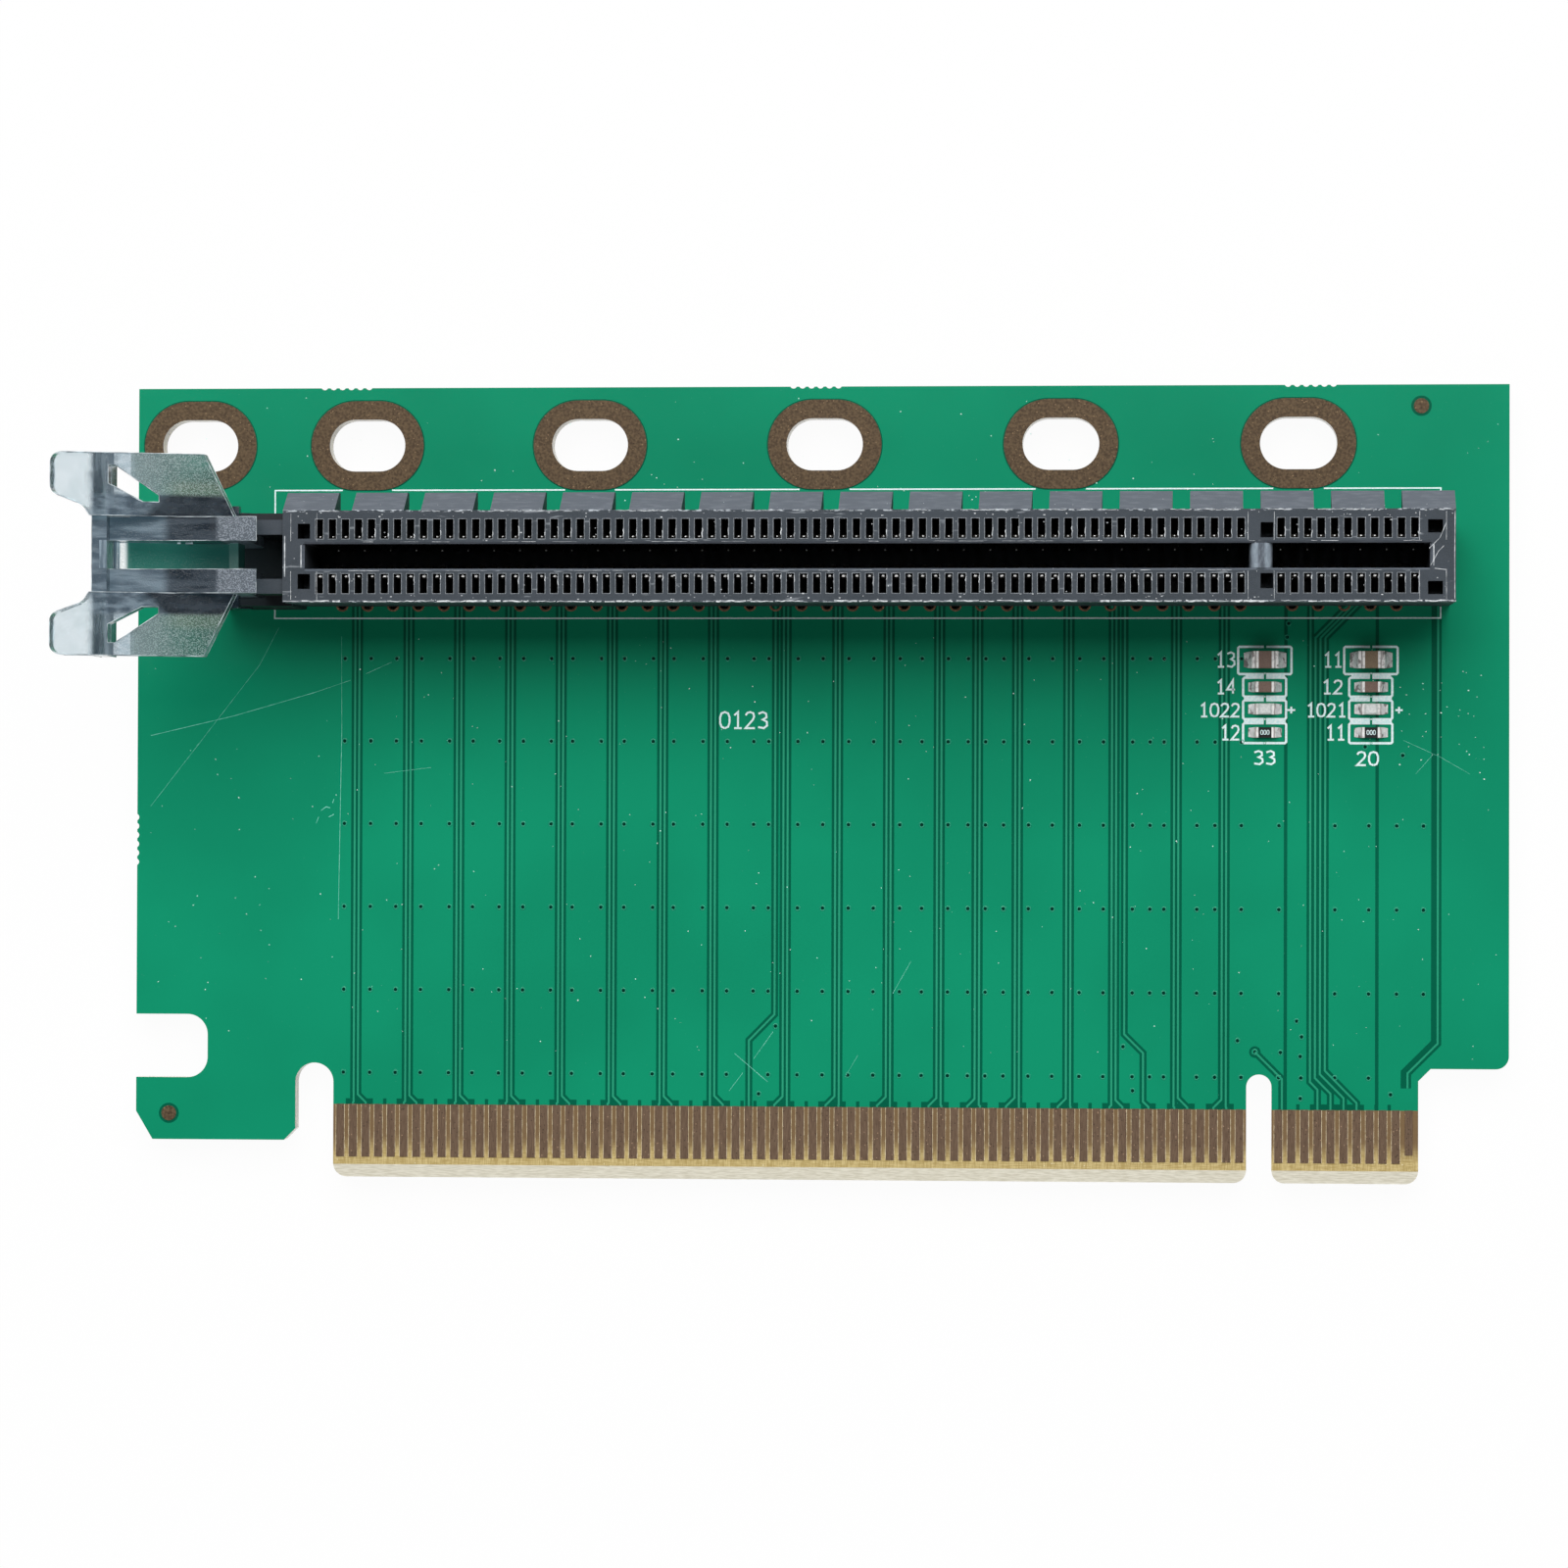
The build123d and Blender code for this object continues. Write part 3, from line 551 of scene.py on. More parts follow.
def latch_material():
    """Smoky clear plastic: clear lobes, frosted wings, dark where the arms are thick, with painted shade
    on the arms' end faces and a painted view of the board and its shadow on the web between the arms.
    """
    look = Look("latch_clear", 0.12)
    look.put("IOR", 1.5)
    side = look.away(look.y, SLOT_Y)
    streak = look.ramp(look.noise(0.8, 5, (0.35, 2.4, 2.4)), 0.38, 0.64)
    cloud = look.ramp(look.noise(0.55, 3), 0.38, 0.62)
    frost = look.ramp(look.noise(11.0, 0), 0.50, 0.62)

    # Each field of colour, from the lobes on the left to the arms' ends on the right
    lobe = look.mix(cloud, (0.64, 0.735, 0.775), (0.72, 0.80, 0.84))
    upright = look.ramp(look.noise(0.9, 4, (2.6, 0.30, 2.6)), 0.40, 0.64)
    fold = look.plus(look.times(upright, 0.45), look.ramp(look.x, -87.6, -86.6, 0.0, 0.35))
    bend = look.mix(fold, (0.060, 0.088, 0.112), (0.26, 0.33, 0.38))
    band = look.mix(streak, (0.40, 0.48, 0.53), (0.56, 0.63, 0.68))
    wing = look.mix(look.ramp(look.x, -84.8, -80.0), (0.215, 0.285, 0.30), (0.090, 0.235, 0.20))
    wing = look.mix(look.times(cloud, 0.35), wing, (0.19, 0.26, 0.26))
    far_low = look.times(look.ramp(side, 5.9, 5.2), look.ramp(look.x, -83.5, -81.5))
    wing = look.mix(look.times(far_low, 0.45), wing, (0.30, 0.33, 0.25))
    fine = look.times(frost, look.ramp(look.x, -86.0, -82.5, 0.2, 0.62))
    wing = look.mix(fine, wing, (0.42, 0.50, 0.50))
    root = look.mix(streak, (0.018, 0.026, 0.036), (0.042, 0.056, 0.072))
    root_left = look.mix(streak, (0.070, 0.100, 0.130), (0.20, 0.26, 0.31))
    arm_left = look.mix(streak, (0.078, 0.112, 0.145), (0.20, 0.26, 0.31))
    arm_middle = look.mix(streak, (0.018, 0.027, 0.038), (0.056, 0.074, 0.094))
    arm_end = look.mix(frost, (0.085, 0.108, 0.135), (0.27, 0.31, 0.36))
    # Painted view on the web between the arms: pale at the left, then the green board below, darker to
    # the right as painted shadow
    gap = look.mix(look.ramp(look.x, -86.5, -86.15), (0.92, 0.94, 0.94), (0.036, 0.19, 0.150))
    gap = look.mix(look.ramp(look.x, -84.0, -79.5), gap, (0.016, 0.088, 0.073))
    wall = look.mix(upright, (0.115, 0.16, 0.20), (0.28, 0.36, 0.42))
    gap = look.mix(look.under(look.x, WALL_SHADE), gap, wall)

    # Their borders
    past_lobe = look.ramp(look.plus(look.x, look.times(cloud, 0.25)), -88.55, -87.75)
    past_bend = look.over(look.x, BEND_END)
    past_band = look.over(look.x, BAND_END)
    outer = look.ramp(side, 4.35, 4.65)
    out_wing = look.mix(past_band, look.mix(past_bend, bend, band), wing)
    corner = look.minus(4.55, look.times(look.ramp(look.x, -79.0, -77.6), 0.7))
    wing_part = look.ramp(look.minus(side, corner), -0.22, 0.22)
    slanted = look.plus(look.x, look.times(look.minus(side, 3.7), -0.9))
    inner_part = look.mix(look.ramp(slanted, -84.3, -83.0), root_left, root)
    plate = look.mix(look.times(wing_part, past_bend), inner_part, out_wing)
    plate = look.mix(look.times(outer, look.minus(1.0, past_bend)), plate, bend)
    plate = look.mix(past_lobe, lobe, plate)
    arm = look.mix(look.ramp(look.x, -83.4, -82.4), arm_left, arm_middle)
    frosted_end = look.ramp(look.x, -79.2, -78.7)
    arm = look.mix(frosted_end, arm, arm_end)
    # Painted shade on the arms' end faces that do not face up
    end_face_shade = look.times(look.over(look.x, ARM_END), look.under(look.up, 0.5))
    arm = look.mix(end_face_shade, arm, (0.060, 0.072, 0.090))
    on_arm = look.under(side, ARM_OUTER)
    in_gap = look.times(look.under(side, ARM_INNER), look.over(look.x, WALL_LEFT))
    look.colour(look.mix(in_gap, look.mix(on_arm, plate, arm), gap))

    # How much shows through: all in the lobes, most in the wings, little in the arms
    wing_clear = look.ramp(look.x, -85.0, -79.5, 0.50, 0.78)
    frosted = look.times(frost, past_bend, 0.4)
    wing_clear = look.times(wing_clear, look.minus(1.0, frosted))
    plate_clear = look.plus(0.30, look.times(wing_part, look.minus(wing_clear, 0.30)))
    rest = look.minus(plate_clear, look.times(on_arm, look.minus(plate_clear, 0.22)))
    rest = look.plus(rest, look.times(in_gap, look.minus(0.15, rest)))
    pale = look.times(in_gap, look.ramp(look.x, -87.05, -87.0), look.ramp(look.x, -86.2, -86.6))
    rest = look.plus(rest, look.times(pale, 0.75))
    solid = look.larger(past_lobe, on_arm)
    clear = look.minus(1.0, look.times(solid, look.minus(1.0, rest)))
    look.put("Transmission Weight", clear)

    ends = look.times(on_arm, frosted_end)
    rough = look.plus(0.05, look.times(wing_part, past_band, 0.16))
    look.rough(look.plus(rough, look.times(ends, 0.30)))
    look.bump(look.plus(look.noise(1.1, 4), look.times(frost, 0.5)), 0.03, 0.35)
    shade = look.add("BsdfTransparent")
    shade.inputs["Color"].default_value = (0.68, 0.76, 0.77, 1)
    look.show_instead(look.add("LightPath").outputs["Is Shadow Ray"], shade)
    return look.material


# Copper, vias and print on the board

def level(front, height):
    """Low and high of a film of a given height on the front or the back face."""
    if front:
        return -0.01, height
    return BOARD_BACK - height, BOARD_BACK + 0.01


def circle(x, y, radius, steps, turn=0.0, straight=0.0):
    """Points round a circle, or round a slot where the two halves stand apart by a straight length."""
    points = []
    for step in range(steps):
        angle = 2 * math.pi * (step + turn) / steps
        middle = x + math.copysign(straight, math.cos(angle))
        points.append((middle + radius * math.cos(angle), y + radius * math.sin(angle)))
    return points


def trace_paths():
    """Centre lines of all the traces, from the slot down to the fingers."""
    low = MASK_EDGE
    paths = []
    bend = low + 0.14
    for centre, left in PAIRS:
        for x, finger in ((centre - PAIR_HALF, left), (centre + PAIR_HALF, left + 1)):
            paths.append([(x, TRACE_TOP), (x, bend + abs(finger - x)), (finger, bend), (finger, low)])
    paths.append([(-37.49, TRACE_TOP), (-37.49, 12.84), (-39.48, 10.82), (-39.48, low)])
    paths.append([(-10.38, TRACE_TOP), (-10.38, 11.45), (-8.92, 10.0), (-8.92, 6.25),
                  (-8.5, 5.85), (-8.5, low)])
    paths.append([(3.92, TRACE_TOP), (3.92, 7.85), (4.5, 7.25), (4.5, low)])
    bends = ((8.15, 5.5, 6.95), (8.45, 6.5, 6.62), (8.72, 7.5, 6.25))
    for x, (start, finger, end) in zip(LONG_SIGNALS, bends):
        paths.append([(x, LONG_TOP), (x, start), (finger, end), (finger, low)])
    for x in LONG_SIGNALS:
        paths.append([(x, LONG_TOP), (x + 3.0, LONG_TOP + 3.0)])
    paths.append([(13.70, TRACE_TOP), (13.70, 10.85), (11.40, 8.55), (11.40, 7.4)])
    paths.append([TRACE_VIA, (1.77, 8.06), (1.77, low)])
    return paths


def make_copper(front):
    """Dark gaps in the copper under the mask, and the traces that run in them."""
    side = "front" if front else "back"
    gaps, traces = Shape(), Shape()
    signals = set()
    for count, path in enumerate(trace_paths()):
        gaps.ribbon(path, TRACE + 2 * CLEARANCE, *level(front, 0.004 + 0.001 * (count % 4)))
        traces.ribbon(path, TRACE, *level(front, 0.0125 + 0.0007 * (count % 4)))
        signals.add(path[-1][0])
    for x in SPLITS:
        gaps.plate(x - SPLIT_HALF, x + SPLIT_HALF, MASK_EDGE, TRACE_TOP, *level(front, 0.0085))
    film = level(front, 0.0095)
    gaps.ribbon([(13.36, TRACE_TOP), (13.36, 10.99), (11.05, 8.68), (11.05, 7.4)], 0.34, *film)
    gaps.ribbon(circle(*TRACE_VIA, 0.36, 24), 0.17, *film, closed=True)
    if front:
        for x, y in FIDUCIALS:
            gaps.ribbon(circle(x, y, 0.68, 24), 0.22, *film, closed=True)
        for x in (FIRST_RING, *RING_CENTRES):
            gaps.ribbon(circle(x, RING_Y, RING_OUTER, 48, 0.5, RING_STRAIGHT), 0.12, *film, closed=True)
    stub_top = MASK_EDGE + FINGER_STUB
    for x in FINGERS:
        if x in signals:
            height = STUB_FILM + 0.0006 * (int(x + 100) % 2)
            gaps.plate(x - 0.57, x + 0.57, MASK_EDGE, stub_top, *level(front, height))
        elif x + 1 in FINGERS and x + 1 not in signals:
            gaps.plate(x + 0.37, x + 0.63, MASK_EDGE, stub_top, *level(front, STUB_FILM))
    gaps.make("copper_gaps_" + side, mask_gap, "solder_mask")
    traces.make("traces_" + side, mask_light, "solder_mask")


def via_places(front):
    places = [(x, y) for y in VIA_ROWS for x in VIA_COLUMNS if (x, y) != NO_VIA]
    places += [(x, y) for y in VIA_ROWS[2:-1] for x in RIGHT_VIA_COLUMNS]
    places += [(x, VIA_ROWS[-1]) for x in RIGHT_VIA_COLUMNS[:3]]
    places.append(TRACE_VIA)
    places += SINGLE_VIAS if front else ()
    return places


def make_vias(front):
    """Tented vias: a small raised rim of mask round a dark dimple."""
    side = "front" if front else "back"
    base = 0.0 if front else BOARD_BACK
    sign = 1 if front else -1
    rims, pits = Shape(), Shape()
    for x, y in via_places(front):
        profile = [(0.13, 0.008), (0.16, 0.022), (0.21, 0.018), (0.25, -0.005), (0.13, -0.005)]
        pit = [(0.0, 0.006), (0.135, 0.009), (0.135, -0.005), (0.0, -0.005)]
        if not front:
            profile.reverse()
            pit.reverse()
        rims.lathe(x, y, [(r, base + sign * z) for r, z in profile], 12)
        pits.lathe(x, y, [(r, base + sign * z) for r, z in pit], 10)
    rims.make("via_rims_" + side, mask_rim, "solder_mask", smooth=True)
    pits.make("via_pits_" + side, mask_pit, "solder_mask")


def pin_places():
    """Centres of the slot's pins: inner and outer rows on both sides."""
    places = []
    for run, outer_turn in ((LONG_RUN, 0), (SHORT_RUN, 1)):
        for i, x in enumerate(run):
            offset = OUTER_ROW if i % 2 == outer_turn else INNER_ROW
            places += [(x, SLOT_Y + offset), (x, SLOT_Y - offset)]
    return places


def make_pin_pads():
    """Bare rings round the pins on both faces, and the solder that climbs them at the back."""
    front, back, solder = Shape(), Shape(), Shape()
    ring = [(0.34, 0.0), (0.34, 0.03), (0.37, 0.045), (0.47, 0.045), (0.50, 0.0)]
    cone = [(0.0, -2.68), (0.13, -2.62), (0.19, -2.35), (0.27, -2.02), (0.38, -1.80),
            (0.47, -1.66), (0.47, -1.55), (0.0, -1.55)]
    for x, y in pin_places():
        front.lathe(x, y, ring[::-1], 20)
        back.lathe(x, y, [(r, BOARD_BACK - z) for r, z in ring], 20)
        solder.lathe(x, y, cone, 14)
    front.make("pin_pads_front", pad_bronze_lit, "bare_copper")
    back.make("pin_pads_back", pad_bronze_lit, "bare_copper")
    solder.make("pin_solder", solder_look, "solder", smooth=True)


DIGITS = {
    "0": [[(0.5, 0), (0.15, 0.12), (0, 0.5), (0, 1.0), (0.15, 1.38), (0.5, 1.5), (0.85, 1.38),
           (1, 1.0), (1, 0.5), (0.85, 0.12), (0.5, 0)]],
    "1": [[(0.15, 1.2), (0.55, 1.5), (0.55, 0)], [(0.15, 0), (0.95, 0)]],
    "2": [[(0.02, 1.2), (0.2, 1.43), (0.5, 1.5), (0.82, 1.4), (0.92, 1.1), (0.8, 0.8), (0, 0), (1, 0)]],
    "3": [[(0.02, 1.35), (0.5, 1.5), (0.85, 1.35), (0.88, 1.0), (0.5, 0.8), (0.92, 0.6),
           (0.95, 0.25), (0.6, 0.0), (0.0, 0.1)]],
    "4": [[(0.75, 0), (0.75, 1.5), (0.0, 0.45), (1.0, 0.45)]],
    "+": [[(0.5, 0.3), (0.5, 1.2)], [(0.05, 0.75), (0.95, 0.75)]],
}


def write(shape, text, x0, x1, y0, y1, height):
    """Plain digits drawn as thin strokes, fitted between two corners."""
    gap = 0.35
    width = (x1 - x0) / (len(text) + gap * (len(text) - 1))
    for i, sign in enumerate(text):
        left = x0 + i * width * (1 + gap)
        for step, stroke in enumerate(DIGITS[sign]):
            line = [(left + u * width, y0 + v / 1.5 * (y1 - y0)) for u, v in stroke]
            shape.ribbon(line, PRINT_LINE, *level(True, height + 0.0007 * step))


def make_print():
    """Pale print: the frame round the slot, the boxes round the small parts and plain numbers."""
    marks = Shape()
    low, high = level(True, PRINT_FILM)
    x0, x1, y0, y1 = SLOT_FRAME
    lines = [[(x0, 51.75), (x0, y1), (RING_CENTRES[0] - RING_GAP, y1)]]
    lines += [[(a + RING_GAP, y1), (b - RING_GAP, y1)] for a, b in zip(RING_CENTRES, RING_CENTRES[1:])]
    lines.append([(RING_CENTRES[-1] + RING_GAP, y1), (x1, y1), (x1, 51.6)])
    lines.append([(x0, 44.6), (x0, y0), (x1, y0), (x1, 44.5)])
    for line in lines:
        marks.ribbon(line, FRAME_LINE, low, high)
    for centre in (COLUMN_LEFT, COLUMN_RIGHT):
        shift = centre - COLUMN_LEFT
        boxes = ((-1.65, 2.45, 39.30, 41.41), (-1.26, 2.04, 37.56, 39.02),
                 (-1.26, 2.04, 35.82, 37.27), (-1.26, 2.05, 33.97, 35.51))
        for a, b, c, d in boxes:
            for side, edge in ((-1, a + shift), (1, b + shift)):
                inner, bevel = centre + side * BOX_BREAK, edge - side * BOX_CORNER
                marks.ribbon([(inner, c), (bevel, c), (edge, c + BOX_CORNER), (edge, d - BOX_CORNER),
                              (bevel, d), (inner, d)], PRINT_LINE + 0.03, low, high)
        bands = ((-1.10, 1.95, 39.02, 39.30), (-1.20, 2.0, 37.27, 37.56), (-1.20, 2.0, 35.51, 35.82))
        for a, b, c, d in bands:
            marks.plate(a + shift, centre - BOX_BREAK, c, d, low, high + 0.0009)
            marks.plate(centre + BOX_BREAK, b + shift, c, d, low, high + 0.0009)
    labels = (
        ("13", -3.3, -1.9, 39.86, 40.98), ("14", -3.3, -1.9, 37.80, 38.82),
        ("1022", -4.58, -1.55, 36.02, 37.02), ("12", -2.95, -1.56, 34.24, 35.32),
        ("+", 2.10, 2.78, 36.1, 36.95), ("33", -0.4, 1.2, 32.34, 33.36),
        ("11", 4.95, 6.32, 39.86, 40.93), ("12", 4.86, 6.36, 37.80, 38.82),
        ("1021", 3.65, 6.62, 36.02, 37.02), ("11", 5.15, 6.55, 34.24, 35.32),
        ("+", 10.40, 11.02, 36.1, 36.95), ("20", 7.5, 9.1, 32.28, 33.30),
        ("0123", -41.8, -38.1, 35.08, 36.33),
    )
    for text, a, b, c, d in labels:
        write(marks, text, a, b, c, d, PRINT_FILM)
    for centre in (COLUMN_LEFT, COLUMN_RIGHT):
        for y0, y1 in ((39.28, 39.42), (37.50, 37.62), (35.76, 35.88), (33.90, 34.05)):
            marks.plate(centre - 0.05, centre + 0.05, y0, y1, *level(True, 0.021))
    marks.make("print_marks", print_look, "solder_mask")


def make_cell_rims():
    """Painted highlights: thin pale edges round the contact openings in the slot's top face."""
    rims = Shape()
    low, high = SLOT_TOP - 0.02, SLOT_TOP + 0.012
    rng = random.Random(7)
    for x in LONG_RUN + SHORT_RUN:
        for sign in (1, -1):
            near, far = SLOT_Y + sign * (CELL_NEAR - 0.01), SLOT_Y + sign * CELL_FAR
            points = []
            for side, run in ((-CELL_RIM, (near, far)), (CELL_RIM, (far, near))):
                for step in range(4):
                    y = run[0] + (run[1] - run[0]) * step / 3
                    points.append((x + side + rng.uniform(-0.012, 0.012), y))
            rims.ribbon(points, 0.032, low, high, closed=True)
    rims.make("cell_rims", rim_highlight_look, "slot_plastic")


def make_contact_tips():
    """Painted glints: bright tips of the contacts just below the slot's top face and small beads in the
    channel, and pale burrs beside the cells, partly real burrs and partly painted highlights.
    """
    tips, burrs = Shape(), Shape()
    rng = random.Random(5)
    for x in LONG_RUN + SHORT_RUN:
        for sign in (1, -1):
            y = SLOT_Y + sign * 1.50
            half = rng.uniform(0.10, 0.135) * (0.55 if sign > 0 else 1.0)
            shift = rng.uniform(-0.02, 0.05)
            deep = half * 0.58
            outline = ((-1, -0.8), (-0.5, -1), (0.6, -0.95), (1, 0), (0.6, 0.85), (-0.6, 1))
            tips.prism([(x + shift + half * u, y + deep * v) for u, v in outline], 9.9, TIP_TOP)
            if rng.random() < 0.6:
                start = SLOT_Y + sign * rng.uniform(1.36, 1.6)
                length = rng.uniform(0.25, 0.75)
                line = []
                for step in range(5):
                    line.append((x + 0.285 + rng.uniform(-0.025, 0.05), start + sign * length * step / 4))
                burrs.ribbon(line, rng.uniform(0.03, 0.07), SLOT_TOP - 0.02, SLOT_TOP + 0.02)
        # Painted glints: small beads on every second contact where it meets the channel
        if int(x + 200) % 2:
            y = SLOT_Y + 0.60
            bead = ((-0.06, -0.05), (0.05, -0.05), (0.06, 0.05), (-0.05, 0.05))
            tips.prism([(x + u, y + v) for u, v in bead], 7.7, 8.15)
    tips.make("contact_tip_glints", tip_glint_look, "contact_metal")
    burrs.make("cell_burrs", burr_and_highlight_look, "slot_plastic")


def ragged_line(shape, rng, ends, y, width, drop, low, high, share):
    """A worn edge: short uneven strokes along a straight line."""
    x0, x1 = ends
    x = x0
    while x < x1:
        length = rng.uniform(0.3, 2.2)
        if rng.random() < share:
            count = max(2, int(length / 0.25))
            line = []
            for step in range(count + 1):
                line.append((min(x + length * step / count, x1), y + rng.uniform(-drop, drop)))
            shape.ribbon(line, width * rng.uniform(0.5, 1.5), low, high)
        x += length + rng.uniform(0.02, 0.3)


def make_edge_wear():
    """Pale worn lines, mould lines and painted highlights along the housing's top edges, and small pale
    chips.
    """
    wear = Shape()
    rng = random.Random(23)
    low, high = SLOT_TOP - 0.03, SLOT_TOP + 0.012
    left, right = SLOT_LEFT, SLOT_RIGHT
    full = (left + 0.1, right - 0.1)
    ragged_line(wear, rng, full, SLOT_Y + SLOT_HALF - 0.05, 0.035, 0.03, low, high, 0.55)
    ragged_line(wear, rng, full, SLOT_Y - SLOT_HALF + 0.07, 0.09, 0.045, low, high + 0.003, 0.88)
    for y in (SLOT_Y + CHANNEL_HALF, SLOT_Y - CHANNEL_HALF):
        ragged_line(wear, rng, (left + 2.4, right - 2.0), y, 0.022, 0.01, low, high - 0.003, 0.35)
    for x in (left + 0.62, left + 2.62, -BAR_HALF, BAR_HALF, right - 2.72, right - 0.72):
        wear.ribbon([(x, SLOT_Y + 1.15), (x + 0.01, SLOT_Y + 3.3)], 0.03, low, high - 0.002)
        wear.ribbon([(x + 0.02, SLOT_Y - 3.3), (x, SLOT_Y - 1.15)], 0.03, low, high - 0.002)
    # Painted highlights on the bevels at the slot's left end and at both ends of the channel
    for x, half in ((left + 0.16, 1.55), (MOUTH_LEFT - 0.26, 0.86), (MOUTH_RIGHT + 0.26, 0.80)):
        wear.ribbon([(x, SLOT_Y - half), (x, SLOT_Y + half)], 0.085, low, high - 0.005)
    # Scratches near the right end, and a painted highlight along the right end's top edge
    for points in (
        [(right - 2.0, SLOT_Y + 0.5), (right - 1.2, SLOT_Y + 1.3), (right - 0.7, SLOT_Y + 2.5)],
        [(right - 1.9, SLOT_Y - 0.8), (right - 1.3, SLOT_Y + 0.3), (right - 0.9, SLOT_Y + 0.7)],
        [(right - 1.6, SLOT_Y - 1.0), (right - 0.7, SLOT_Y - 1.1)],
        [(right - 0.08, SLOT_Y - 3.3), (right - 0.10, SLOT_Y - 0.4), (right - 0.07, SLOT_Y + 3.3)],
    ):
        wear.ribbon(points, 0.045, low, high + 0.006)
    for _ in range(170):
        x = rng.uniform(left, right)
        y = SLOT_Y + rng.choice((1, -1)) * rng.choice((rng.uniform(2.95, 3.45), rng.uniform(1.0, 3.4)))
        size = rng.uniform(0.03, 0.08)
        wear.plate(x, x + size * rng.uniform(0.8, 2.4), y, y + size, low, high + 0.009)
    wear.make("edge_wear_and_highlights", burr_and_highlight_look, "slot_plastic")


def meniscus(shape, x, y, side, reach, half, height):
    """Solder that sweeps up from the board to an end cap: a hollow curve with rounded flanks."""
    across, along = 10, 8
    start = len(shape.verts)
    for i in range(along + 1):
        u = i / along
        for j in range(across + 1):
            v = 2 * j / across - 1
            spread = half * (1.0 - 0.16 * u * u)
            top = height * (1 - u) ** 1.7 * (1 - 0.55 * abs(v) ** 3) + 0.05 * (1 - u) * math.cos(v * 5)
            shape.verts.append((x + side * reach * u, y + spread * v, max(top, 0.0) + 0.012))
    row = across + 1
    low = len(shape.verts)
    for i in range(along + 1):
        for j in range(row):
            px, py, _ = shape.verts[start + i * row + j]
            shape.verts.append((px, py, -0.01))

    def face(a, b, c, d):
        shape.faces.append([a, b, c, d] if side > 0 else [d, c, b, a])

    for i in range(along):
        for j in range(across):
            a = i * row + j
            face(start + a, start + a + row, start + a + row + 1, start + a + 1)
            face(low + a + 1, low + a + row + 1, low + a + row, low + a)
        edge = i * row
        face(start + edge, low + edge, low + edge + row, start + edge + row)
        edge = i * row + across
        face(start + edge + row, low + edge + row, low + edge, start + edge)
    for j in range(across):
        face(start + j, start + j + 1, low + j + 1, low + j)
        edge = along * row + j
        face(start + edge + 1, start + edge, low + edge, low + edge + 1)


def make_menisci():
    """The solder at both ends of every small part, in place of the plain fillets."""
    solder = Shape()
    for column in (COLUMN_LEFT, COLUMN_RIGHT):
        for y, length, half, height, reach in SMALL_PARTS:
            for side in (-1, 1):
                meniscus(solder, column + side * (length / 2 - 0.015), y, side, reach, half, height)
    piece = solder.make("solder_menisci", solder_look, "solder", smooth=True)
    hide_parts("chip_solder")
    digits = Shape()
    for column in (COLUMN_LEFT, COLUMN_RIGHT):
        y = SMALL_PARTS[3][0]
        left = column - 0.33
        for i in range(3):
            x0 = left + 0.24 * i
            for stroke in DIGITS["0"]:
                line = [(x0 + u * 0.17, y - 0.17 + v / 1.5 * 0.34) for u, v in stroke]
                digits.ribbon(line, 0.055, RESISTOR_TOP - 0.02, RESISTOR_TOP + 0.012)
    digits.make("resistor_digits", print_look, "resistor_black")


def make_finger_rims():
    """Painted highlights: thin pale edges of the plating along both sides of every finger."""
    for side, sign, base in (("front", 1, 0.0), ("back", -1, BOARD_BACK)):
        rims = Shape()
        rng = random.Random(31)
        for x in FINGERS:
            for edge in (-FINGER_HALF, FINGER_HALF):
                z0, z1 = sorted((base - sign * 0.02, base + sign * 0.045))
                end = FINGER_LOW if rng.random() < 0.9 else FINGER_LOW + 0.3
                middle = (x + edge + rng.uniform(-0.008, 0.008), 3.6)
                rims.ribbon([(x + edge, end), middle, (x + edge, MASK_EDGE - 0.02)], 0.036, z0, z1)
        rims.make("finger_rims_" + side, gold_rim_highlight, "finger_gold")


def make_edge_glints():
    """Rounded edges of the clear latch that catch the light, as thin lines just inside each edge."""
    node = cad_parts["retention_latch"]
    grid = bmesh.new()
    grid.from_mesh(node.data)
    grid.transform(node.matrix_world)
    bmesh.ops.remove_doubles(grid, verts=grid.verts, dist=1e-7)
    glints = Shape()
    half = 0.022
    for edge in grid.edges:
        if len(edge.link_faces) != 2 or edge.calc_face_angle_signed(0) < 0.6:
            continue
        a, b = [vert.co / MM for vert in edge.verts]
        if (b - a).length < 0.3 or max(a.z, b.z) < 11.2:
            continue
        if max(abs(a.x - WALL_EDGE), abs(b.x - WALL_EDGE)) < 0.1 and min(a.z, b.z) > 14:
            continue
        inward = -(edge.link_faces[0].normal + edge.link_faces[1].normal).normalized()
        side = (b - a).normalized().cross(inward)
        shift = inward * half * 0.8
        start = len(glints.verts)
        for point in (a + shift, b + shift):
            for u, v in ((-1, -1), (1, -1), (1, 1), (-1, 1)):
                glints.verts.append(tuple(point + side * half * u + inward * half * v))
        for i in range(4):
            j = (i + 1) % 4
            glints.faces.append([start + i, start + j, start + 4 + j, start + 4 + i])
        glints.faces.append([start + 3, start + 2, start + 1, start])
        glints.faces.append([start + 4, start + 5, start + 6, start + 7])
    grid.free()
    # Painted glints along the inner face of the far arm
    inner = SLOT_Y + 1.02
    for x0, x1, z in ((-84.95, -83.2, 10.2), (-83.0, -82.4, 10.1), (-82.2, -81.5, 9.9)):
        glints.plate(x0, x1, inner, inner + 0.09, z, z + 0.1)
    glints.make("edge_glints", glint_look, "latch_clear", body="latch")


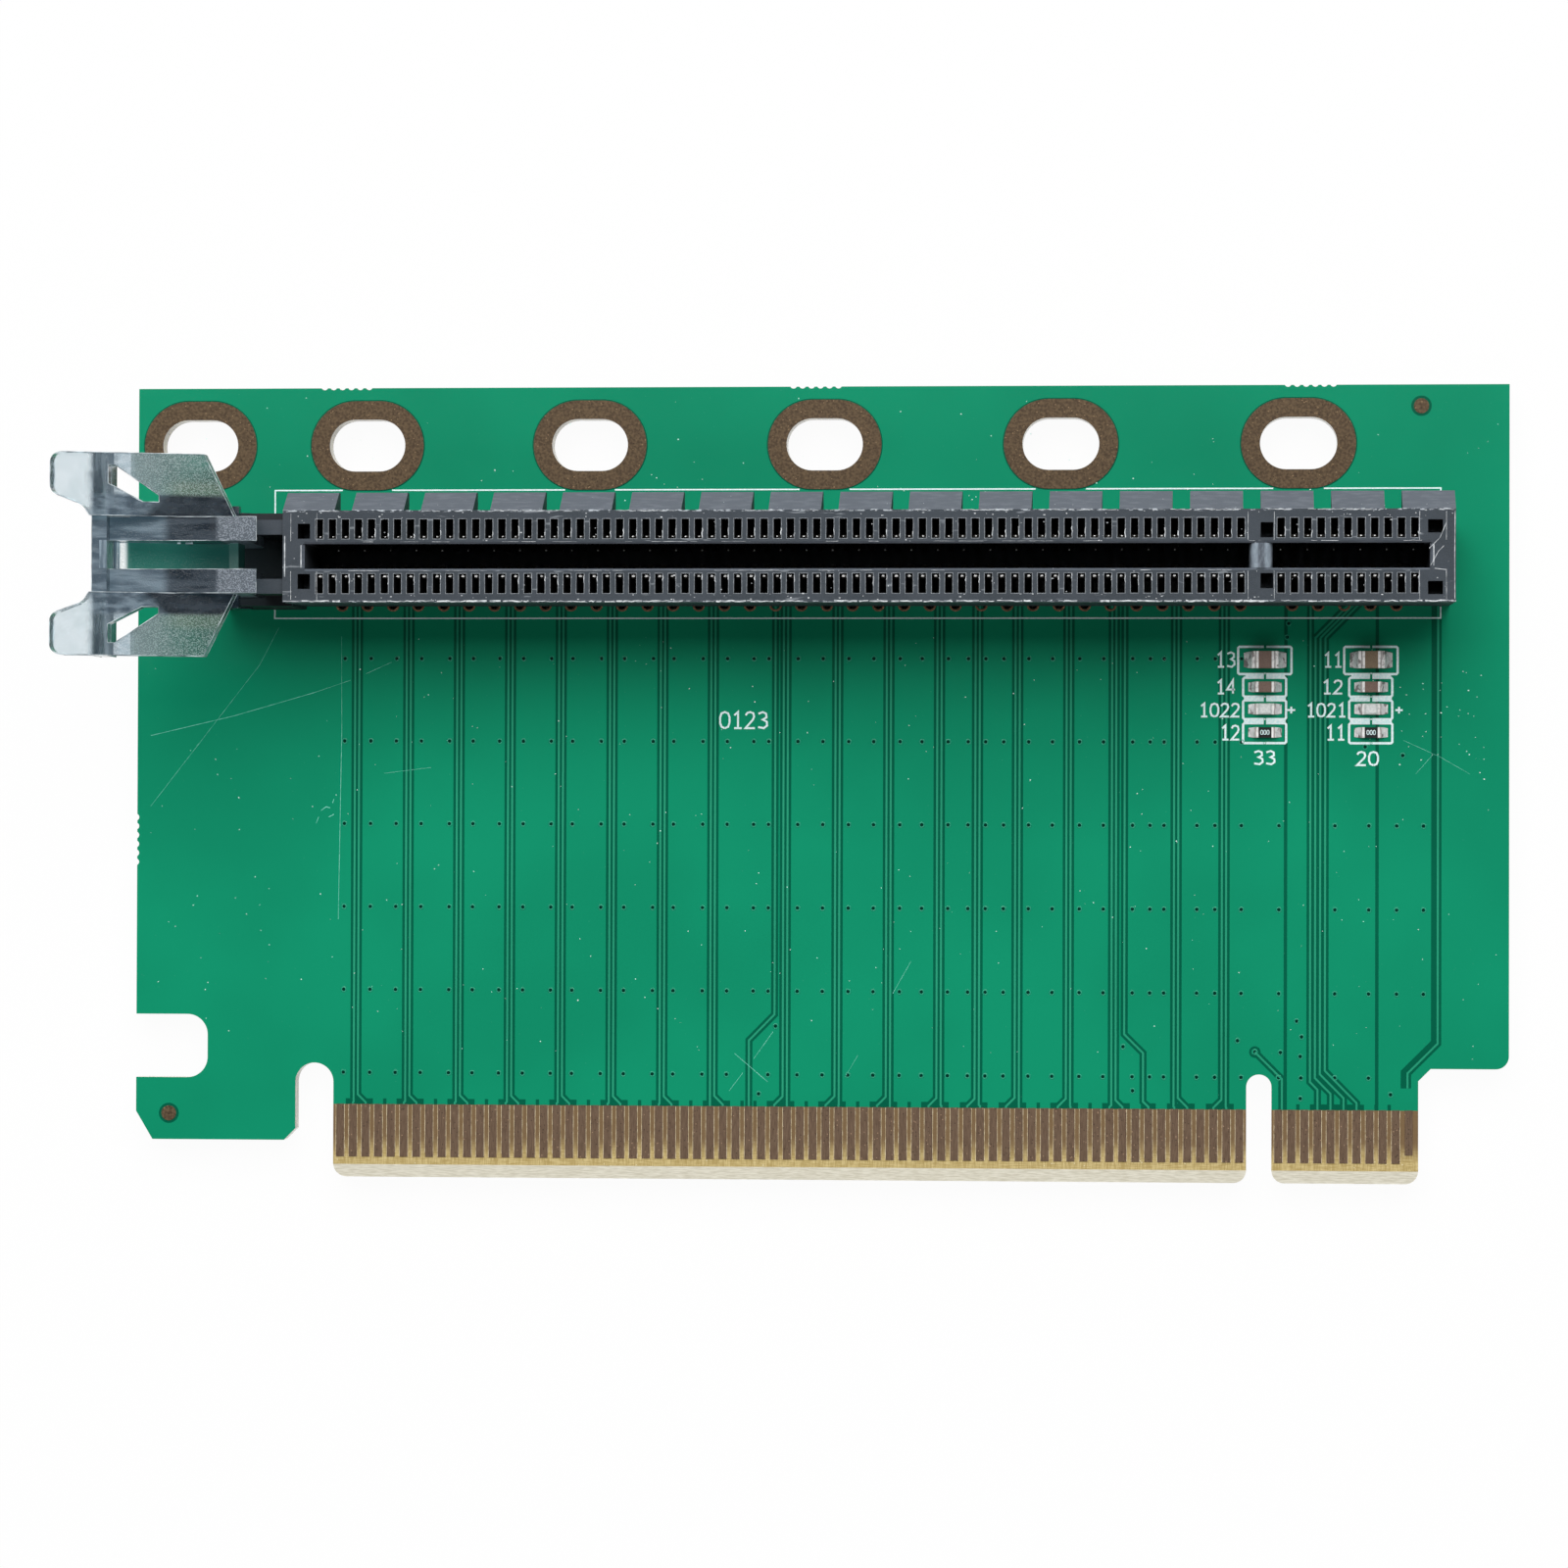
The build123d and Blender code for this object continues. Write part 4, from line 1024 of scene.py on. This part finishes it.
def make_marks():
    """Dust and small flakes on the board, and fine scratches in the mask."""
    rng = random.Random(11)
    flakes = Shape()
    for _ in range(430):
        x, y = rng.uniform(-87, 18.5), rng.uniform(9.5, 61)
        if abs(y - SLOT_Y) < 5.5:
            continue
        size = rng.uniform(0.022, 0.060)
        turn = rng.uniform(0, 6.28)
        corners = rng.choice((4, 5, 6))
        squash = rng.uniform(0.4, 1.0)
        outline = []
        for u, v in circle(0, 0, size, corners):
            v *= squash
            outline.append((x + u * math.cos(turn) - v * math.sin(turn),
                            y + u * math.sin(turn) + v * math.cos(turn)))
        flakes.prism(outline, -0.005, 0.02)
    for _ in range(70):
        above_slot = (rng.uniform(-73, 14), rng.uniform(52.5, 54.6))
        beside_parts = (rng.uniform(10.5, 17.5), rng.uniform(31, 40))
        x, y = rng.choice((above_slot, beside_parts))
        size = rng.uniform(0.03, 0.08)
        corners = ((-1, 0), (0, -0.7), (1, 0), (0, 0.8))
        flakes.prism([(x + size * u, y + size * v) for u, v in corners], -0.005, 0.021)
    flakes.make("dust_flakes", dust_look, "solder_mask")
    lines = Shape()
    for points, width in SCRATCHES:
        lines.ribbon(points, width, -0.004, 0.0145)
    lines.make("fine_scratches", scratch_look, "solder_mask")


SCRATCHES = (
    ([(-86.6, 34.45), (-80, 36.0), (-73.6, 37.85)], 0.031),
    ([(-73.6, 37.85), (-70.8, 38.8)], 0.0186),
    ([(-69.6, 39.3), (-67.6, 40.2)], 0.0248),
    ([(-71.5, 34.9), (-71.72, 20.1)], 0.0279),
    ([(-86.6, 28.9), (-78.0, 40.0), (-76.5, 42.9)], 0.0186),
    ([(-37.6, 11.5), (-39.1, 9.4)], 0.0248),
    ([(-40.6, 9.8), (-38.0, 7.6)], 0.031),
    ([(-41.0, 6.9), (-39.95, 8.3)], 0.0248),
    ([(-28.3, 14.5), (-26.9, 17.0)], 0.0217),
    ([(-32.0, 8.0), (-31.0, 9.7)], 0.0186),
    ([(-68.15, 31.52), (-64.45, 31.98)], 0.0186),
    ([(-73.1, 28.6), (-72.7, 28.9), (-72.4, 28.8)], 0.0496),
    ([(-72.5, 28.1), (-72.1, 28.3)], 0.0496),
    ([(-73.5, 27.6), (-73.3, 28.1)], 0.0372),
    ([(-72.2, 29.2), (-72.1, 29.5)], 0.0434),
    ([(-71.54, 42.2), (-71.5, 34.9)], 0.0186),
    ([(11.05, 34.2), (13.9, 32.9), (16.15, 31.6)], 0.0186),
    ([(12.0, 31.6), (13.3, 33.1)], 0.0186),
)


# Materials in use

mask_board = board_material()
mask_gap = mask_material("mask_over_gap", MASK_DARK)
mask_light = mask_material("mask_over_trace", MASK_LIGHT)
mask_rim = mask_material("mask_on_via_rim", (0.018, 0.30, 0.175))
mask_pit = mask_material("mask_in_via", (0.001, 0.030, 0.018))
bronze = bronze_material("plated_bronze", (0.062, 0.038, 0.020), (0.138, 0.092, 0.050), 0.50)
gold = bronze_material("finger_plating", (0.112, 0.070, 0.044), (0.160, 0.104, 0.066), 0.45, (3, 0.3, 1))
# Painted light: a brighter copy of the plating for the pin pads, which sit in the slot's shade
pad_bronze_lit = bronze_material("pad_bronze_lit", (0.20, 0.105, 0.062), (0.36, 0.20, 0.12), 0.45)
slate = housing_material()
contact_metal = contact_material()
tin = bright_metal("tin_plate", (0.95, 0.94, 0.92), 0.30, 2.5)
solder_look = bright_metal("solder_alloy", (0.97, 0.97, 0.97), 0.24, 2)
latch_look = latch_material()
ceramic = plain_material("ceramic_brown", (0.16, 0.095, 0.070), (0.22, 0.135, 0.10), 0.45, 12)
ceramic_olive = plain_material("ceramic_olive", (0.17, 0.115, 0.060), (0.24, 0.165, 0.09), 0.45, 12)
resistor_black = plain_material("resistor_black", (0.004, 0.004, 0.005), (0.012, 0.012, 0.013), 0.8, 10)
led_white = plain_material("led_white", (0.70, 0.70, 0.68), (0.85, 0.85, 0.83), 0.4, 8)
led_lens = plain_material("led_lens", (0.72, 0.76, 0.74), (0.90, 0.92, 0.90), 0.2, 6)
print_look = plain_material("print_pale", (0.62, 0.88, 0.88), (0.90, 1.0, 1.0), 0.55, 6)
# Painted glints on the contact tips
tip_glint_look = plain_material("tip_painted_glint", (0.80, 0.80, 0.78), (0.96, 0.96, 0.94), 0.3, 8)
# Pale burrs and worn lines, partly painted highlights
burr_and_highlight_look = plain_material("pale_burr_and_highlight", (0.22, 0.24, 0.26), (0.75, 0.78, 0.80), 0.5, 2.2)
glint_look = plain_material("glint_pale", (0.10, 0.13, 0.15), (0.80, 0.88, 0.92), 0.3, 0.9)
# Painted highlights along the fingers' edges
gold_rim_highlight = plain_material("gold_rim_highlight", (0.42, 0.31, 0.17), (0.76, 0.65, 0.44), 0.4, 3)
# Painted highlights round the contact openings
rim_highlight_look = plain_material("rim_painted_highlight", (0.16, 0.18, 0.20), (0.36, 0.39, 0.42), 0.5, 5)
dust_look = plain_material("dust_pale", (0.45, 0.90, 0.78), (0.98, 1.0, 1.0), 0.6, 3)
scratch_look = plain_material("scratch_pale", (0.08, 0.50, 0.36), (0.30, 0.80, 0.68), 0.5, 1.5)

# The first entry that is part of a node's name gives its material
LOOKS = (
    ("circuit_board", mask_board), ("edge_fingers", gold), ("hole_pads", bronze),
    ("fiducial_marks", bronze), ("slot_housing", slate), ("slot_contacts", contact_metal),
    ("retention_latch", latch_look), ("chip_solder", solder_look), ("_terminals", tin),
    ("_base", led_white), ("_lens", led_lens), ("capacitor_1_body", ceramic_olive),
    ("resistor", resistor_black), ("_body", ceramic),
)


def finish_nodes():
    """Gives every CAD node its material."""
    for name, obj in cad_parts.items():
        look = next(look for part, look in LOOKS if part in name)
        for slot in obj.material_slots:
            slot.material = look


# Studio

def make_floor():
    """Pale floor: white to the camera and to gloss and clear plastic, and it keeps a soft shadow."""
    half, height = 3.0, -0.00292
    corners = ((-half, -half), (half, -half), (half, half), (-half, half))
    mesh = bpy.data.meshes.new("floor")
    mesh.from_pydata([(x, y, height) for x, y in corners], [], [(0, 1, 2, 3)])
    floor = add_object("floor", mesh)
    look = Look("floor_white", 0.9, specular=0.0)
    look.colour((0.82, 0.82, 0.82))
    path = look.add("LightPath").outputs
    seen = look.larger(path["Is Camera Ray"], path["Is Glossy Ray"])
    seen = look.larger(seen, path["Is Transmission Ray"])
    look.show_instead(look.times(seen, 0.96), look.add("Emission"))
    mesh.materials.append(look.material)


def make_world():
    """White to the camera and to clear plastic; elsewhere brighter near the horizon than overhead."""
    world = bpy.data.worlds.new("studio")
    bpy.context.scene.world = world
    world.use_nodes = True
    sky = Nodes(world.node_tree)
    up = sky.split(sky.add("TexCoord").outputs["Generated"])[2]
    path = sky.add("LightPath").outputs
    both = sky.add("Mix")
    sky.feed(both.inputs["Factor"], sky.larger(path["Is Camera Ray"], path["Is Transmission Ray"]))
    sky.feed(both.inputs[2], sky.ramp(up, 0.0, 0.9, 0.72, 0.04, kind="LINEAR"))
    both.inputs[3].default_value = 1.0
    sky.feed(sky.tree.nodes["Background"].inputs["Strength"], both.outputs[0])


def make_light(name, width, depth, energy, lift, across, side):
    """A broad soft box that looks at the middle of the card from a height given in degrees."""
    lamp = bpy.data.lights.new(name, "AREA")
    lamp.shape = "RECTANGLE"
    lamp.size, lamp.size_y = width, depth
    lamp.energy = energy
    obj = add_object(name, lamp)
    target = Vector((-0.035, 0.035, 0))
    lift = math.radians(lift)
    obj.location = target + Vector((across, side * math.cos(lift), math.sin(lift))) * 0.8
    obj.rotation_mode = "QUATERNION"
    obj.rotation_quaternion = (target - obj.location).to_track_quat("-Z", "Y")


def make_camera():
    """The photograph's own camera, fitted to the board's edges and holes."""
    camera = bpy.data.cameras.new("camera")
    camera.sensor_width = 36
    camera.lens = CAMERA_LENS
    camera.clip_start = 0.01
    obj = add_object("camera", camera)
    tilt = Matrix.Identity(3)
    for axis, degrees in CAMERA_TURNS:
        tilt = tilt @ Matrix.Rotation(math.radians(degrees), 3, axis)
    place = Vector(CAMERA_PLACE) * MM
    obj.matrix_world = Matrix.Translation(place) @ tilt.transposed().to_4x4()
    bpy.context.scene.camera = obj


make_camera()
make_world()
# The key stands beyond the board's far side, and a weak fill keeps the slot's shadow from going black
make_light("key", 0.9, 0.70, energy=9.7, lift=55, across=0.0, side=1)
make_light("fill", 1.0, 0.6, energy=2.0, lift=48, across=0.1, side=-1)
make_floor()
bpy.context.scene.view_settings.view_transform = "Standard"

finish_nodes()
for front in (True, False):
    make_copper(front)
for front in (True, False):
    make_vias(front)
make_pin_pads()
make_print()
make_cell_rims()
make_contact_tips()
make_edge_wear()
make_finger_rims()
make_menisci()
make_edge_glints()
make_marks()
